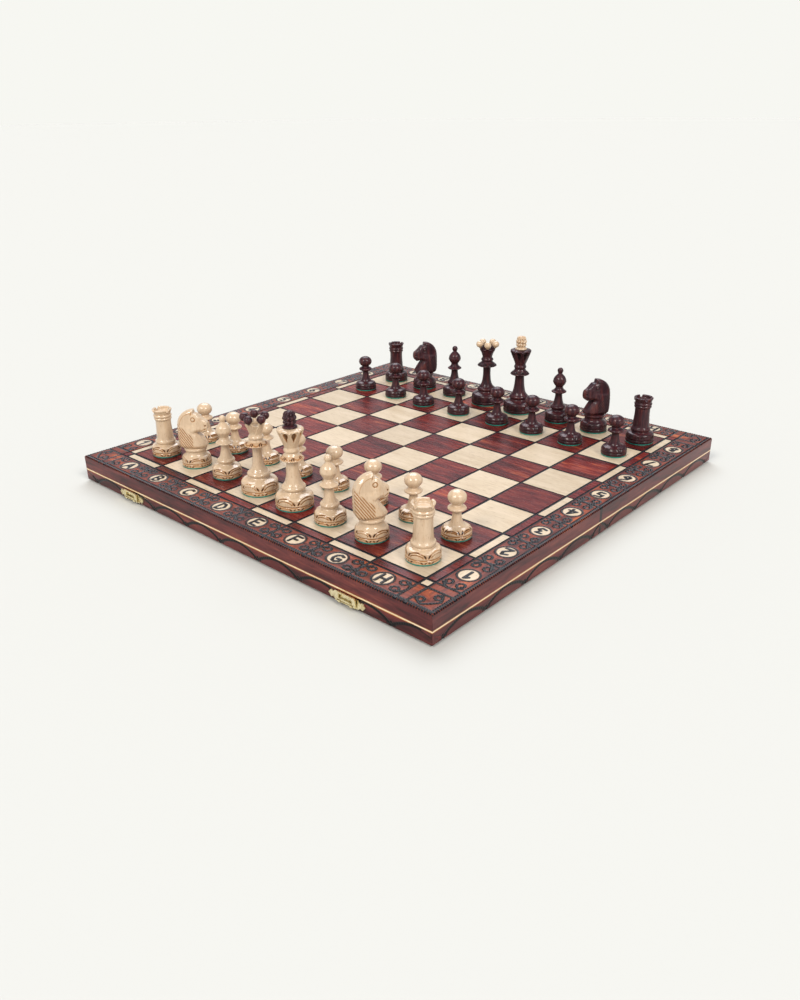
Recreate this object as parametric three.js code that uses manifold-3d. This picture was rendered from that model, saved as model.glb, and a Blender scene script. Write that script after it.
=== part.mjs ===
// Folding wooden chess set: a board in two hinged tray halves with carved pieces standing on it.
// Millimetres, +Z up. The origin is at the bottom centre of the open board: +X runs along the
// files from A to H and +Y along the ranks from 1 to 8.

import * as THREE from 'three';
import { mergeVertices } from 'three/addons/utils/BufferGeometryUtils.js';
import Module from 'manifold-3d';

const wasm = await Module();
wasm.setup();

// ---- driving dimensions ----

const SQUARE = 57; // side of one playing square
const BOARD_SIDE = 540; // outside of the open board, both ways
const BOARD_HEIGHT = 30; // table to playing surface
const PANEL_THICKNESS = 8;
const EDGE_ROUNDING = 2; // chamfer along the panel's outer top edge
const RAIL_WIDTH = 12;
const CENTRE_RAIL_WIDTH = 9;
const FOLD_GAP = 0.4; // between the two halves at the fold
const JOINT_GAP = 0.3; // between separate pieces that touch
const STRING_HEIGHT = 1.6; // light stringing in the outer rails
const STRING_DEPTH = 1.3;
const STRING_BOTTOM = 12.2;

const HINGE_X = 150; // centre of each fold hinge, either side of the middle
const HINGE_LENGTH = 36;
const LEAF_WIDTH = 7.2;
const LEAF_THICKNESS = 1;
const KNUCKLE_RADIUS = 1.3;
const KNUCKLE_BORE = 0.85;
const HINGE_PIN_RADIUS = 0.55;
const HINGE_DROP = 0.15; // of the fold's axis under the rims, so that closed rims keep a small gap

const CLASP_X = 172; // centre of each clasp, either side of the middle
const CLASP_PLATE = { length: 46, height: 9.4, thickness: 1, bottom: 1.2 };
const CLASP_PIVOT = { out: 2.6, up: 2.4 }; // of the loop, from the board's side and from the table
const CLASP_KNUCKLE = { length: 3, radius: 1.2, bore: 0.95, spacing: 15 };
const CLASP_LOOP = { length: 25, height: 9.4, thickness: 1.2, slotLength: 16.6, slotLow: 3, slotHigh: 7.7 };
const CATCH = { length: 14, height: 9, thickness: 1, bottom: 0.6, hookLength: 10, hookLow: 1.7, hookHigh: 4.7 };
const CATCH_REACH = 3.4; // of the hook, out from the catch plate

const ROUND_SIDES = 10; // facets round a turned piece
const SMALL_SIDES = 8; // facets round a small pin or bead

const HALF_SIDE = BOARD_SIDE / 2;
const RAIL_HEIGHT = BOARD_HEIGHT - PANEL_THICKNESS - JOINT_GAP;
const FLOOR_OF_PIECES = BOARD_HEIGHT + JOINT_GAP;

const COLOUR = {
  lightWood: { color: 0xdcc39a, roughness: 0.35, metalness: 0 },
  darkWood: { color: 0x35140e, roughness: 0.25, metalness: 0 },
  boardWood: { color: 0x4a1c14, roughness: 0.3, metalness: 0 },
  string: { color: 0xf2d79a, roughness: 0.4, metalness: 0 },
  brass: { color: 0xd8c78a, roughness: 0.3, metalness: 1 },
};

// ---- helpers ----

const group = new THREE.Group();

function material(kind) {
  return new THREE.MeshStandardMaterial(COLOUR[kind]);
}

function addMesh(name, geometry, kind, x = 0, y = 0, z = 0, turn = 0) {
  const mesh = new THREE.Mesh(geometry, material(kind));
  mesh.name = name;
  mesh.position.set(x, y, z);
  mesh.rotation.z = turn;
  group.add(mesh);
}

function toSolid(geometry) {
  const bare = geometry.clone();
  bare.deleteAttribute('normal');
  bare.deleteAttribute('uv');
  const merged = mergeVertices(bare, 1e-4);
  const vertProperties = new Float32Array(merged.attributes.position.array);
  const triVerts = new Uint32Array(merged.index.array);
  return new wasm.Manifold(new wasm.Mesh({ numProp: 3, vertProperties, triVerts }));
}

function toGeometry(solid) {
  const mesh = solid.getMesh();
  const geometry = new THREE.BufferGeometry();
  geometry.setAttribute('position', new THREE.BufferAttribute(new Float32Array(mesh.vertProperties), 3));
  geometry.setIndex(new THREE.BufferAttribute(new Uint32Array(mesh.triVerts), 1));
  geometry.computeVertexNormals();
  return geometry;
}

function joined(geometries) {
  return geometries.map(toSolid).reduce((whole, next) => whole.add(next));
}

function cutBy(solid, geometries) {
  return geometries.map(toSolid).reduce((rest, next) => rest.subtract(next), solid);
}

// A box given by its lowest and highest corners.
function block(low, high) {
  const size = high.map((value, i) => value - low[i]);
  const geometry = new THREE.BoxGeometry(...size);
  geometry.translate(...low.map((value, i) => value + size[i] / 2));
  return geometry;
}

// A round bar along X.
function barAlongX(radius, xLow, xHigh, y, z, sides = SMALL_SIDES) {
  const geometry = new THREE.CylinderGeometry(radius, radius, xHigh - xLow, sides);
  geometry.rotateZ(Math.PI / 2);
  geometry.translate((xLow + xHigh) / 2, y, z);
  return geometry;
}

// A plan outline (corners in order) raised from zLow to zHigh.
function slab(corners, zLow, zHigh) {
  const shape = new THREE.Shape(corners.map(([x, y]) => new THREE.Vector2(x, y)));
  const geometry = new THREE.ExtrudeGeometry(shape, { depth: zHigh - zLow, bevelEnabled: false });
  geometry.translate(0, 0, zLow);
  return geometry;
}

// A solid turned about Z from [radius, height] points, listed from the foot to the top.
function turned(profile, sides = ROUND_SIDES) {
  const points = profile.map(([radius, height]) => new THREE.Vector2(radius, height));
  const geometry = new THREE.LatheGeometry(points, sides);
  geometry.rotateX(Math.PI / 2);
  return geometry;
}

// Points round part of a ball or egg on the axis, between two latitudes in degrees.
function roundedPoints(radius, halfHeight, centre, fromLatitude, toLatitude, steps) {
  const points = [];
  for (let i = 0; i <= steps; i += 1) {
    const latitude = THREE.MathUtils.degToRad(fromLatitude + ((toLatitude - fromLatitude) * i) / steps);
    const across = i === steps && toLatitude === 90 ? 0 : radius * Math.cos(latitude);
    points.push([across, centre + halfHeight * Math.sin(latitude)]);
  }
  return points;
}

// ---- board ----

// One half of the board, built for the white side (y below 0) and turned round for the black side.
function boardHalf(side, turn) {
  const near = -HALF_SIDE;
  const far = -FOLD_GAP / 2;
  const left = -HALF_SIDE;
  const right = HALF_SIDE;

  const panelBottom = BOARD_HEIGHT - PANEL_THICKNESS;
  const rounded = EDGE_ROUNDING;
  const panelSection = [
    [near, panelBottom],
    [far, panelBottom],
    [far, BOARD_HEIGHT],
    [near + rounded, BOARD_HEIGHT],
    [near, BOARD_HEIGHT - rounded],
  ];
  const section = new THREE.Shape(panelSection.map(([y, z]) => new THREE.Vector2(y, z)));
  const panelLength = new THREE.ExtrudeGeometry(section, { depth: BOARD_SIDE, bevelEnabled: false });
  panelLength.applyMatrix4(new THREE.Matrix4().set(0, 0, 1, left, 1, 0, 0, 0, 0, 1, 0, 0, 0, 0, 0, 1));
  const endSection = [
    [left, panelBottom - 1],
    [right, panelBottom - 1],
    [right, BOARD_HEIGHT - rounded],
    [right - rounded - 1, BOARD_HEIGHT + 1],
    [left + rounded + 1, BOARD_HEIGHT + 1],
    [left, BOARD_HEIGHT - rounded],
  ];
  const ends = new THREE.ExtrudeGeometry(
    new THREE.Shape(endSection.map(([x, z]) => new THREE.Vector2(x, z))),
    { depth: HALF_SIDE + 2, bevelEnabled: false },
  );
  ends.rotateX(Math.PI / 2);
  ends.translate(0, 1, 0);
  const panel = toSolid(panelLength).intersect(toSolid(ends));
  addMesh(`${side}_half_panel`, toGeometry(panel), 'boardWood', 0, 0, 0, turn);

  // Mitred outer rails, with a groove for the stringing.
  const inner = RAIL_WIDTH;
  const mitre = JOINT_GAP / 2;
  const grooveLow = STRING_BOTTOM - JOINT_GAP;
  const grooveHigh = STRING_BOTTOM + STRING_HEIGHT + JOINT_GAP;
  const grooveDepth = STRING_DEPTH + JOINT_GAP;
  const frontRail = slab(
    [
      [left + mitre, near],
      [right - mitre, near],
      [right - inner - mitre, near + inner],
      [left + inner + mitre, near + inner],
    ],
    0,
    RAIL_HEIGHT,
  );
  const frontGroove = block([left - 1, near - 1, grooveLow], [right + 1, near + grooveDepth, grooveHigh]);
  addMesh(
    `${side}_half_front_rail`,
    toGeometry(cutBy(toSolid(frontRail), [frontGroove])),
    'boardWood', 0, 0, 0, turn,
  );
  const hands = turn === 0 ? ['left', 'right'] : ['right', 'left'];
  for (const [i, sign] of [-1, 1].entries()) {
    const outer = sign * HALF_SIDE;
    const corners = [
      [outer, near + mitre],
      [outer, far],
      [outer - sign * inner, far],
      [outer - sign * inner, near + inner + mitre],
    ];
    const rail = slab(sign > 0 ? corners : corners.slice().reverse(), 0, RAIL_HEIGHT);
    const groove = block(
      [Math.min(outer + sign, outer - sign * grooveDepth), near - 1, grooveLow],
      [Math.max(outer + sign, outer - sign * grooveDepth), far + 1, grooveHigh],
    );
    addMesh(
      `${side}_half_${hands[i]}_rail`,
      toGeometry(cutBy(toSolid(rail), [groove])),
      'boardWood', 0, 0, 0, turn,
    );
  }

  // Light stringing: one strip round the three outer sides.
  const deep = STRING_DEPTH;
  const strip = slab(
    [
      [left, near],
      [right, near],
      [right, far],
      [right - deep, far],
      [right - deep, near + deep],
      [left + deep, near + deep],
      [left + deep, far],
      [left, far],
    ],
    STRING_BOTTOM,
    STRING_BOTTOM + STRING_HEIGHT,
  );
  addMesh(`${side}_half_stringing`, strip, 'string', 0, 0, 0, turn);

  // Centre rail along the fold, mortised underneath for the hinges.
  const reach = HALF_SIDE - RAIL_WIDTH - JOINT_GAP;
  const centreRail = block([-reach, far - CENTRE_RAIL_WIDTH, 0], [reach, far, RAIL_HEIGHT]);
  const mortises = [-HINGE_X, HINGE_X].flatMap((x) => {
    const half = HINGE_LENGTH / 2 + JOINT_GAP;
    const room = KNUCKLE_RADIUS + JOINT_GAP;
    return [
      block([x - half, -LEAF_WIDTH - JOINT_GAP, -1], [x + half, 1, LEAF_THICKNESS + JOINT_GAP]),
      block([x - half, -room, -1], [x + half, 1, room]),
    ];
  });
  addMesh(
    `${side}_half_centre_rail`,
    toGeometry(cutBy(toSolid(centreRail), mortises)),
    'boardWood', 0, 0, 0, turn,
  );
}

// ---- fold hinges ----

// One leaf with its knuckles; side is -1 for the white half and 1 for the black half.
function hingeLeaf(side) {
  const half = HINGE_LENGTH / 2;
  const third = HINGE_LENGTH / 3;
  const inner = KNUCKLE_RADIUS + JOINT_GAP;
  const yEdges = [side * inner, side * LEAF_WIDTH].sort((a, b) => a - b);
  const plate = block([-half, yEdges[0], 0], [half, yEdges[1], LEAF_THICKNESS]);
  const spans = side < 0
    ? [[-half, -half + third - JOINT_GAP], [half - third + JOINT_GAP, half]]
    : [[-third / 2 + JOINT_GAP, third / 2 - JOINT_GAP]];
  const knuckles = spans.flatMap(([low, high]) => {
    const lugEdges = [side * (KNUCKLE_BORE + 0.1), side * (inner + 0.2)].sort((a, b) => a - b);
    return [
      barAlongX(KNUCKLE_RADIUS, low, high, 0, -HINGE_DROP),
      block([low, lugEdges[0], 0], [high, lugEdges[1], LEAF_THICKNESS]),
    ];
  });
  const bore = barAlongX(KNUCKLE_BORE, -half - 1, half + 1, 0, -HINGE_DROP);
  return toGeometry(cutBy(joined([plate, ...knuckles]), [bore]));
}

function foldHinges() {
  for (const [hand, x] of [['left', -HINGE_X], ['right', HINGE_X]]) {
    addMesh(`${hand}_hinge_white_leaf`, hingeLeaf(-1), 'brass', x);
    addMesh(`${hand}_hinge_black_leaf`, hingeLeaf(1), 'brass', x);
    const half = HINGE_LENGTH / 2;
    addMesh(`${hand}_hinge_pin`, barAlongX(HINGE_PIN_RADIUS, -half, half, 0, -HINGE_DROP), 'brass', x);
  }
}

// ---- clasps and catches ----

function claspPlate() {
  const { length, height, thickness, bottom } = CLASP_PLATE;
  const inside = -JOINT_GAP;
  const outside = inside - thickness;
  const waist = CLASP_LOOP.length / 2 + 2;
  const half = length / 2;
  const middle = bottom + height / 2;
  // An outline that narrows past the loop and ends in a pointed leaf at each side.
  const rightHalf = [
    [waist, bottom],
    [waist + 2.5, bottom + 2.2],
    [half - 3.5, bottom + 0.8],
    [half, middle],
    [half - 3.5, bottom + height - 0.8],
    [waist + 2.5, bottom + height - 2.2],
    [waist, bottom + height],
  ];
  const leftHalf = rightHalf.map(([x, z]) => [-x, z]).reverse();
  const plate = slab([...rightHalf, ...leftHalf], 0, thickness);
  plate.rotateX(Math.PI / 2);
  plate.translate(0, inside, 0);
  const parts = [plate];
  const { out, up } = CLASP_PIVOT;
  for (const x of [-CLASP_KNUCKLE.spacing / 2, CLASP_KNUCKLE.spacing / 2]) {
    const low = x - CLASP_KNUCKLE.length / 2;
    const high = x + CLASP_KNUCKLE.length / 2;
    parts.push(barAlongX(CLASP_KNUCKLE.radius + 0.2, low, high, -out, up));
    parts.push(block([low, -out, up - CLASP_KNUCKLE.radius], [high, outside + 0.2, up + 0.4]));
  }
  const bore = barAlongX(CLASP_KNUCKLE.bore, -half, half, -out, up);
  return toGeometry(cutBy(joined(parts), [bore]));
}

// A flat frame whose lowest bar is round and turns in the plate's knuckles.
function claspLoop() {
  const { length, height, thickness, slotLength, slotLow, slotHigh } = CLASP_LOOP;
  const { out, up } = CLASP_PIVOT;
  const half = length / 2;
  const outer = [
    [-half, 1.6],
    [half, 1.6],
    [half, height - 2.4],
    [half - 2.4, height],
    [-half + 2.4, height],
    [-half, height - 2.4],
  ];
  const plate = slab(outer, 0, thickness);
  plate.rotateX(Math.PI / 2);
  plate.translate(0, -out + thickness / 2, up);
  const slot = block(
    [-slotLength / 2, -out - thickness, up + slotLow],
    [slotLength / 2, -out + thickness, up + slotHigh],
  );
  const windows = [-CLASP_KNUCKLE.spacing / 2, CLASP_KNUCKLE.spacing / 2].map((x) => {
    const reach = CLASP_KNUCKLE.length / 2 + 0.4;
    return block([x - reach, -out - thickness, up - 1], [x + reach, -out + thickness, up + 2]);
  });
  const lugs = [-1, 1].map((sign) => {
    const edges = [sign * (half - 2.2), sign * half].sort((a, b) => a - b);
    return block([edges[0], -out - thickness / 2, up - 0.4], [edges[1], -out + thickness / 2, up + 2]);
  });
  const pivotBar = barAlongX(0.6, -half, half, -out, up);
  const frame = cutBy(joined([plate, ...lugs]), [slot, ...windows]);
  return toGeometry(frame.add(toSolid(pivotBar)));
}

function catchHook() {
  const { length, height, thickness, bottom, hookLength, hookLow, hookHigh } = CATCH;
  const plate = block([-length / 2, JOINT_GAP, bottom], [length / 2, JOINT_GAP + thickness, bottom + height]);
  const hook = block(
    [-hookLength / 2, JOINT_GAP, hookLow],
    [hookLength / 2, JOINT_GAP + thickness + CATCH_REACH, hookHigh],
  );
  return toGeometry(joined([plate, hook]));
}

function claspsAndCatches() {
  for (const [hand, x] of [['left', -CLASP_X], ['right', CLASP_X]]) {
    addMesh(`${hand}_clasp_plate`, claspPlate(), 'brass', x, -HALF_SIDE);
    addMesh(`${hand}_clasp_loop`, claspLoop(), 'brass', x, -HALF_SIDE);
    addMesh(`${hand}_catch`, catchHook(), 'brass', x, HALF_SIDE);
  }
}

// ---- chess pieces ----

// The two-tier base that every piece has: felt, low tier, ring groove and a rounded upper tier.
function basePoints(radius, shoulder) {
  return [
    [0, 0],
    [radius - 0.7, 0],
    [radius, 1.2],
    [radius, 4.6],
    [radius - 1, 5.3],
    [radius, 6.4],
    [radius - 0.5, shoulder - 2.6],
    [radius - 3, shoulder],
  ];
}

function pawn() {
  return turned([
    ...basePoints(15, 11),
    [7, 12.8],
    [5, 18.5],
    [3.9, 26.6],
    [8.6, 28.4],
    [9.2, 30.2],
    [5.4, 33.4],
    ...roundedPoints(9.2, 7.5, 40.8, -40, 90, 4),
  ]);
}

function bishop() {
  return turned([
    ...basePoints(16.3, 12.5),
    [9.2, 16.4],
    [9.8, 19.6],
    [6.8, 23.4],
    [4.6, 32],
    [4.3, 37.4],
    [9.4, 39.2],
    [8.2, 41.6],
    [4.9, 46],
    [8.3, 52.6],
    [7.4, 57.4],
    [2.6, 62.8],
    ...roundedPoints(3.8, 3.8, 67, -30, 90, 3),
  ]);
}

function queen() {
  return turned([
    ...basePoints(20, 15),
    [11.8, 17.6],
    [12.4, 21],
    [8.8, 25],
    [5.6, 34],
    [5.2, 50.5],
    [12.9, 54],
    [11.4, 57.6],
    [7, 59.6],
    [8.2, 62],
    [6.8, 64.6],
    [10.3, 79],
    [8.2, 79],
    [4, 74],
    [0, 74],
  ]);
}

// Five beads standing on the crown's points, held together by their pegs.
const BEAD = {
  count: 5,
  radius: 4.5,
  ring: 11.6,
  height: 83.6,
  pegRadius: 1.1,
  pegHeight: 81.2,
};

function queenBeads() {
  const parts = [new THREE.CylinderGeometry(2.2, 2.2, 2.2, SMALL_SIDES)];
  parts[0].rotateX(Math.PI / 2);
  parts[0].translate(0, 0, BEAD.pegHeight);
  for (let i = 0; i < BEAD.count; i += 1) {
    const angle = (2 * Math.PI * i) / BEAD.count;
    const bead = new THREE.SphereGeometry(BEAD.radius, SMALL_SIDES, 6);
    bead.rotateX(Math.PI / 2);
    bead.translate(BEAD.ring, 0, BEAD.height);
    bead.rotateZ(angle);
    const peg = barAlongX(BEAD.pegRadius, 0, BEAD.ring, 0, BEAD.pegHeight, 6);
    peg.rotateZ(angle);
    parts.push(bead, peg);
  }
  return toGeometry(joined(parts));
}

const KING_CROWN_TOP = 85;

function king() {
  return turned([
    ...basePoints(20, 15),
    [11.8, 17.6],
    [12.7, 21.4],
    [9, 26],
    [6.6, 38],
    [6, 49.6],
    [12.4, 52.4],
    [11, 56.4],
    [7, 59],
    [8, 62],
    [7, 66],
    [14.2, 83],
    [10, KING_CROWN_TOP],
    [0, KING_CROWN_TOP],
  ]);
}

function kingFinial() {
  const low = KING_CROWN_TOP + JOINT_GAP;
  return turned([
    [0, low],
    [7.4, low],
    [7.4, low + 2],
    [4.4, low + 3.2],
    [6.8, low + 6.4],
    [6.9, low + 11],
    [5.4, low + 15.4],
    [0, low + 17.6],
  ]);
}

function rook() {
  const outside = turned([
    ...basePoints(16.8, 13),
    [11.2, 15],
    [11.9, 17],
    [9.9, 20],
    [8.8, 43],
    [10.3, 44.6],
    [9.8, 50.6],
    [11.6, 55],
    [11.4, 56.2],
    [8.8, 56.2],
    [7.6, 51.6],
    [0, 51.6],
  ]);
  const slotWidth = 3.2;
  const slots = [0, Math.PI / 2].map((angle) => {
    const slot = block([-14, -slotWidth / 2, 52.4], [14, slotWidth / 2, 60]);
    slot.rotateZ(angle);
    return slot;
  });
  return toGeometry(cutBy(toSolid(outside), slots));
}

// The carved horse faces along its own +X.
const HORSE_OUTLINE = [
  [12.4, 21.6],
  [14.8, 25.6],
  [4.4, 40.8],
  [12, 40.8],
  [15.8, 42.8],
  [17.2, 49],
  [15.4, 53.4],
  [7.6, 60],
  [2, 62.4],
  [1.6, 67],
  [-8, 64.4],
  [-14.4, 58.4],
  [-17.2, 48],
  [-16.8, 28],
  [-12.6, 21.6],
];
const HORSE_WIDTH = { low: 22, high: 11 };

function knight() {
  const pedestal = turned([
    ...basePoints(16.8, 12.5),
    [11.6, 15.4],
    [11.2, 18.4],
    [12.8, 20.4],
    [12.2, 22.2],
    [0, 22.2],
  ]);
  const shape = new THREE.Shape(HORSE_OUTLINE.map(([x, z]) => new THREE.Vector2(x, z)));
  const horse = new THREE.ExtrudeGeometry(shape, { depth: HORSE_WIDTH.low, bevelEnabled: false });
  horse.rotateX(Math.PI / 2);
  horse.translate(0, HORSE_WIDTH.low / 2, 0);
  // Wedges that narrow the horse from the pedestal to the ears.
  const low = HORSE_WIDTH.low / 2;
  const high = HORSE_WIDTH.high / 2;
  const cheek = new THREE.Shape([
    new THREE.Vector2(low, 26),
    new THREE.Vector2(low + 6, 26),
    new THREE.Vector2(low + 6, 70),
    new THREE.Vector2(high, 70),
  ]);
  const wedges = [0, Math.PI].map((turn) => {
    const wedge = new THREE.ExtrudeGeometry(cheek, { depth: 44, bevelEnabled: false });
    wedge.rotateX(Math.PI / 2);
    wedge.rotateZ(Math.PI / 2);
    wedge.translate(-22, 0, 0);
    wedge.rotateZ(turn);
    return wedge;
  });
  const carved = cutBy(toSolid(horse), wedges);
  return toGeometry(toSolid(pedestal).add(carved));
}

const FILES = ['a', 'b', 'c', 'd', 'e', 'f', 'g', 'h'];
const BACK_ROW = ['rook', 'knight', 'bishop', 'queen', 'king', 'bishop', 'knight', 'rook'];
const MAKERS = { rook, knight, bishop, queen, king };
// How far each piece of a rank stands off the middle of its square, from file a to file h.
const SET_DOWN = {
  1: [[0, -2], [-1, 1], [-4.5, 3], [-0.5, -0.5], [-1.5, -1], [-3.5, -3], [-5, -1.5], [2.5, -2]],
  2: [[0, 0], [-2.5, 1.5], [-2.5, 2], [-3.5, 1.5], [-2, 1.5], [-0.5, -0.5], [-3, -0.5], [-2.5, -4]],
  7: [[-0.5, -0.5], [0.5, 0.5], [-2.5, -2], [1.5, -1.5], [6, 0.5], [3, 0], [2.5, -0.5], [5.5, -1]],
  8: [[3.5, 5], [2.5, 5], [3, 2.5], [2.5, 2], [0.5, 0.5], [4, 2], [1.5, 0], [8, 0.5]],
};

// Which way each knight looks and the first of each queen's beads lies, in degrees from +X.
const KNIGHT_TURN = { b1: 38, g1: 62, b8: 238, g8: 238 };
const BEADS_TURN = { white: 70, black: 18 };

function standingPlace(file, rank) {
  const [dx, dy] = SET_DOWN[rank][file];
  return [(file - 3.5) * SQUARE + dx, (rank - 4.5) * SQUARE + dy];
}

function chessPieces() {
  const sides = [
    { name: 'white', wood: 'lightWood', trim: 'darkWood', backRank: 1, pawnRank: 2 },
    { name: 'black', wood: 'darkWood', trim: 'lightWood', backRank: 8, pawnRank: 7 },
  ];
  for (const side of sides) {
    FILES.forEach((file, i) => {
      const [x, y] = standingPlace(i, side.backRank);
      const kind = BACK_ROW[i];
      const square = `${file}${side.backRank}`;
      const single = kind === 'king' || kind === 'queen';
      const name = single ? `${side.name}_${kind}` : `${side.name}_${kind}_${square}`;
      const turn = THREE.MathUtils.degToRad(KNIGHT_TURN[square] ?? 0);
      addMesh(name, MAKERS[kind](), side.wood, x, y, FLOOR_OF_PIECES, turn);
      if (kind === 'king') {
        addMesh(`${name}_finial`, kingFinial(), side.trim, x, y, FLOOR_OF_PIECES);
      }
      if (kind === 'queen') {
        const beadsTurn = THREE.MathUtils.degToRad(BEADS_TURN[side.name]);
        addMesh(`${name}_beads`, queenBeads(), side.trim, x, y, FLOOR_OF_PIECES, beadsTurn);
      }
      const [pawnX, pawnY] = standingPlace(i, side.pawnRank);
      const pawnName = `${side.name}_pawn_${file}${side.pawnRank}`;
      addMesh(pawnName, pawn(), side.wood, pawnX, pawnY, FLOOR_OF_PIECES);
    });
  }
}

boardHalf('white', 0);
boardHalf('black', Math.PI);
foldHinges();
claspsAndCatches();
chessPieces();

export default group;
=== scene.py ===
"""A folding wooden chess board with burnt ornament, set out with its 32 carved pieces.

Shapes are worked in millimetres and turned into metres where a mesh is made.
"""

import math

import bpy
import numpy as np
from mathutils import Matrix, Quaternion, Vector
from mathutils.kdtree import KDTree


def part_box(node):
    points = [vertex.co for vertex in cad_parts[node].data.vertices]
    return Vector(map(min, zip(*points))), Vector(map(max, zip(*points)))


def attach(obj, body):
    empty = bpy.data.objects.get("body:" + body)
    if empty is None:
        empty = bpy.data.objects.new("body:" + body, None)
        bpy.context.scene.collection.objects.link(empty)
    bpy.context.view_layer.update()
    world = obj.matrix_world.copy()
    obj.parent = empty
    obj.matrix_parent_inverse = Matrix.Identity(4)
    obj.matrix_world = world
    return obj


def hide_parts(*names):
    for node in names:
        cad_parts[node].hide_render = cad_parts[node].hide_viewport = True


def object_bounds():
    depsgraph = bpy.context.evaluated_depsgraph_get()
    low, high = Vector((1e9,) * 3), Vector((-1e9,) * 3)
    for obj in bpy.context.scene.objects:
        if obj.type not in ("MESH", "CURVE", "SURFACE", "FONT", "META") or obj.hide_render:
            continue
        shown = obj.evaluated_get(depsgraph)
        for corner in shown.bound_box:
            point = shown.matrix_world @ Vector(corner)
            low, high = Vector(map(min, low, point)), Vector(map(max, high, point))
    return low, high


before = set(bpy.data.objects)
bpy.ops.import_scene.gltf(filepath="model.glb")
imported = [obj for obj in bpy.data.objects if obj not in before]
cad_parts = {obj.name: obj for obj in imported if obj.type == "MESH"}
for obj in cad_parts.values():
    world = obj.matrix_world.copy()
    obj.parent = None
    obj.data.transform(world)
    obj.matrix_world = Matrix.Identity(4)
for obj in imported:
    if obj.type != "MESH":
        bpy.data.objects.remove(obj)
cad_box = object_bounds()

MM = 0.001


# ---------------------------------------------------------------- driving dimensions


def box_mm(node):
    low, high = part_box(node)
    return np.array(low) / MM, np.array(high) / MM


def centre_mm(node):
    low, high = box_mm(node)
    return (low + high) / 2


PANEL_LOW, PANEL_HIGH = box_mm("white_half_panel")
HALF_SIDE = PANEL_HIGH[0]
BOARD_TOP = PANEL_HIGH[2]
PANEL_BOTTOM = PANEL_LOW[2]
FOLD_EDGE = -PANEL_HIGH[1]
SQUARE = round(HALF_SIDE * 19 / 90)  # side of one playing square

GROOVE = 2.4  # width of a burnt line between two squares
SQUARE_BEVEL = 0.35
SQUARE_DEPTH = 1.6  # of a square's block under the playing surface
GROOVE_DEPTH = 0.6
SHEET = 5.0  # thickness of the sheet under a half's squares and carved band
EDGE_MARGIN = 2.0  # of the carved band beyond that sheet
FOLD_GAP = 0.5  # of the middle squares from the fold
FOLD_STRIP = 1.5  # width of the wall that closes the band at the fold
INNER_LINE = 4.0 * SQUARE  # from the board's middle to the playing squares' edge
OUTER_LINE = 4.19 * SQUARE  # and to the carved band's inner edge
BAND_MIDDLE = 4.43 * SQUARE
ROPE_LINE = HALF_SIDE - 3.2
CHAMFER = 1.7
BAND_STEP = 0.7  # spacing of the carved surface's points
MEDALLION_RADIUS = 9.3
MEDALLION_RING = 10.6


# ---------------------------------------------------------------- number helpers


def share_of(value, low, high):
    """How far the value is from low to high: 0 at low and below, 1 at high and above."""
    return np.clip((value - low) / (high - low), 0, 1)


def smooth(low, high, value):
    """A soft step from 0 at low to 1 at high; low may be the larger of the two."""
    t = share_of(value, low, high)
    return t * t * (3 - 2 * t)


def curve(points, spacing=0.5):
    """An evenly spaced smooth line through the points; two points give a straight line."""
    p = np.array(points, float)
    if len(p) > 2:
        ends = np.vstack([2 * p[0] - p[1], p, 2 * p[-1] - p[-2]])
        t = np.linspace(0, 1, 12, endpoint=False)[:, None]
        pieces = []
        for a, b, c, d in zip(ends, ends[1:], ends[2:], ends[3:]):
            bend = 2 * a - 5 * b + 4 * c - d
            twist = -a + 3 * b - 3 * c + d
            pieces.append(0.5 * (2 * b + (c - a) * t + bend * t**2 + twist * t**3))
        p = np.vstack([*pieces, p[-1:]])
    return even(p, spacing)


def even(p, spacing):
    steps = np.linalg.norm(np.diff(p, axis=0), axis=1)
    along = np.concatenate([[0], np.cumsum(steps)])
    count = max(2, int(round(along[-1] / spacing)) + 1)
    where = np.linspace(0, along[-1], count)
    return np.stack([np.interp(where, along, p[:, i]) for i in range(p.shape[1])], axis=1)


def outline_of(runs, spacing=0.5):
    """One line from smooth runs that meet at corners."""
    parts = [curve(run, spacing) for run in runs]
    return np.vstack([parts[0], *[part[1:] for part in parts[1:]]])


def arc(centre, radius, start, end, spacing=0.4):
    """Points on an ellipse's arc, angles in degrees; radius is one number or two."""
    rx, ry = radius if np.ndim(radius) else (radius, radius)
    count = max(3, int(abs(math.radians(end - start)) * max(rx, ry) / spacing) + 1)
    a = np.radians(np.linspace(start, end, count))
    return np.stack([centre[0] + rx * np.cos(a), centre[1] + ry * np.sin(a)], axis=1)


class Strokes:
    """Lines on a flat surface, which can be asked how far they are from given points."""

    def __init__(self, lines, spacing=0.35):
        spaced = [even(np.asarray(line, float), spacing) for line in lines]
        self.points = np.vstack(spaced)
        self.station = np.concatenate([np.arange(len(line)) * spacing for line in spaced])
        self.tree = KDTree(len(self.points))
        for i, (x, y) in enumerate(self.points):
            self.tree.insert((x, y, 0), i)
        self.tree.balance()

    def near(self, u, v):
        """Distance to the nearest line, and how far along it that is."""
        found = [self.tree.find((a, b, 0)) for a, b in zip(u.tolist(), v.tolist())]
        index = np.array([f[1] for f in found])
        return np.array([f[2] for f in found]), self.station[index]


# ---------------------------------------------------------------- mesh helpers


def add_object(name, mesh, x=0.0, y=0.0, z=0.0, turn=0.0):
    obj = bpy.data.objects.new(name, mesh)
    obj.location = (x * MM, y * MM, z * MM)
    obj.rotation_euler = (0, 0, turn)
    bpy.context.scene.collection.objects.link(obj)
    return obj


def place(obj, body, slot, *nodes):
    """Puts a piece on its body, in place of the CAD nodes that it stands for."""
    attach(obj, body)
    if nodes:
        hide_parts(*nodes)


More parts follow.
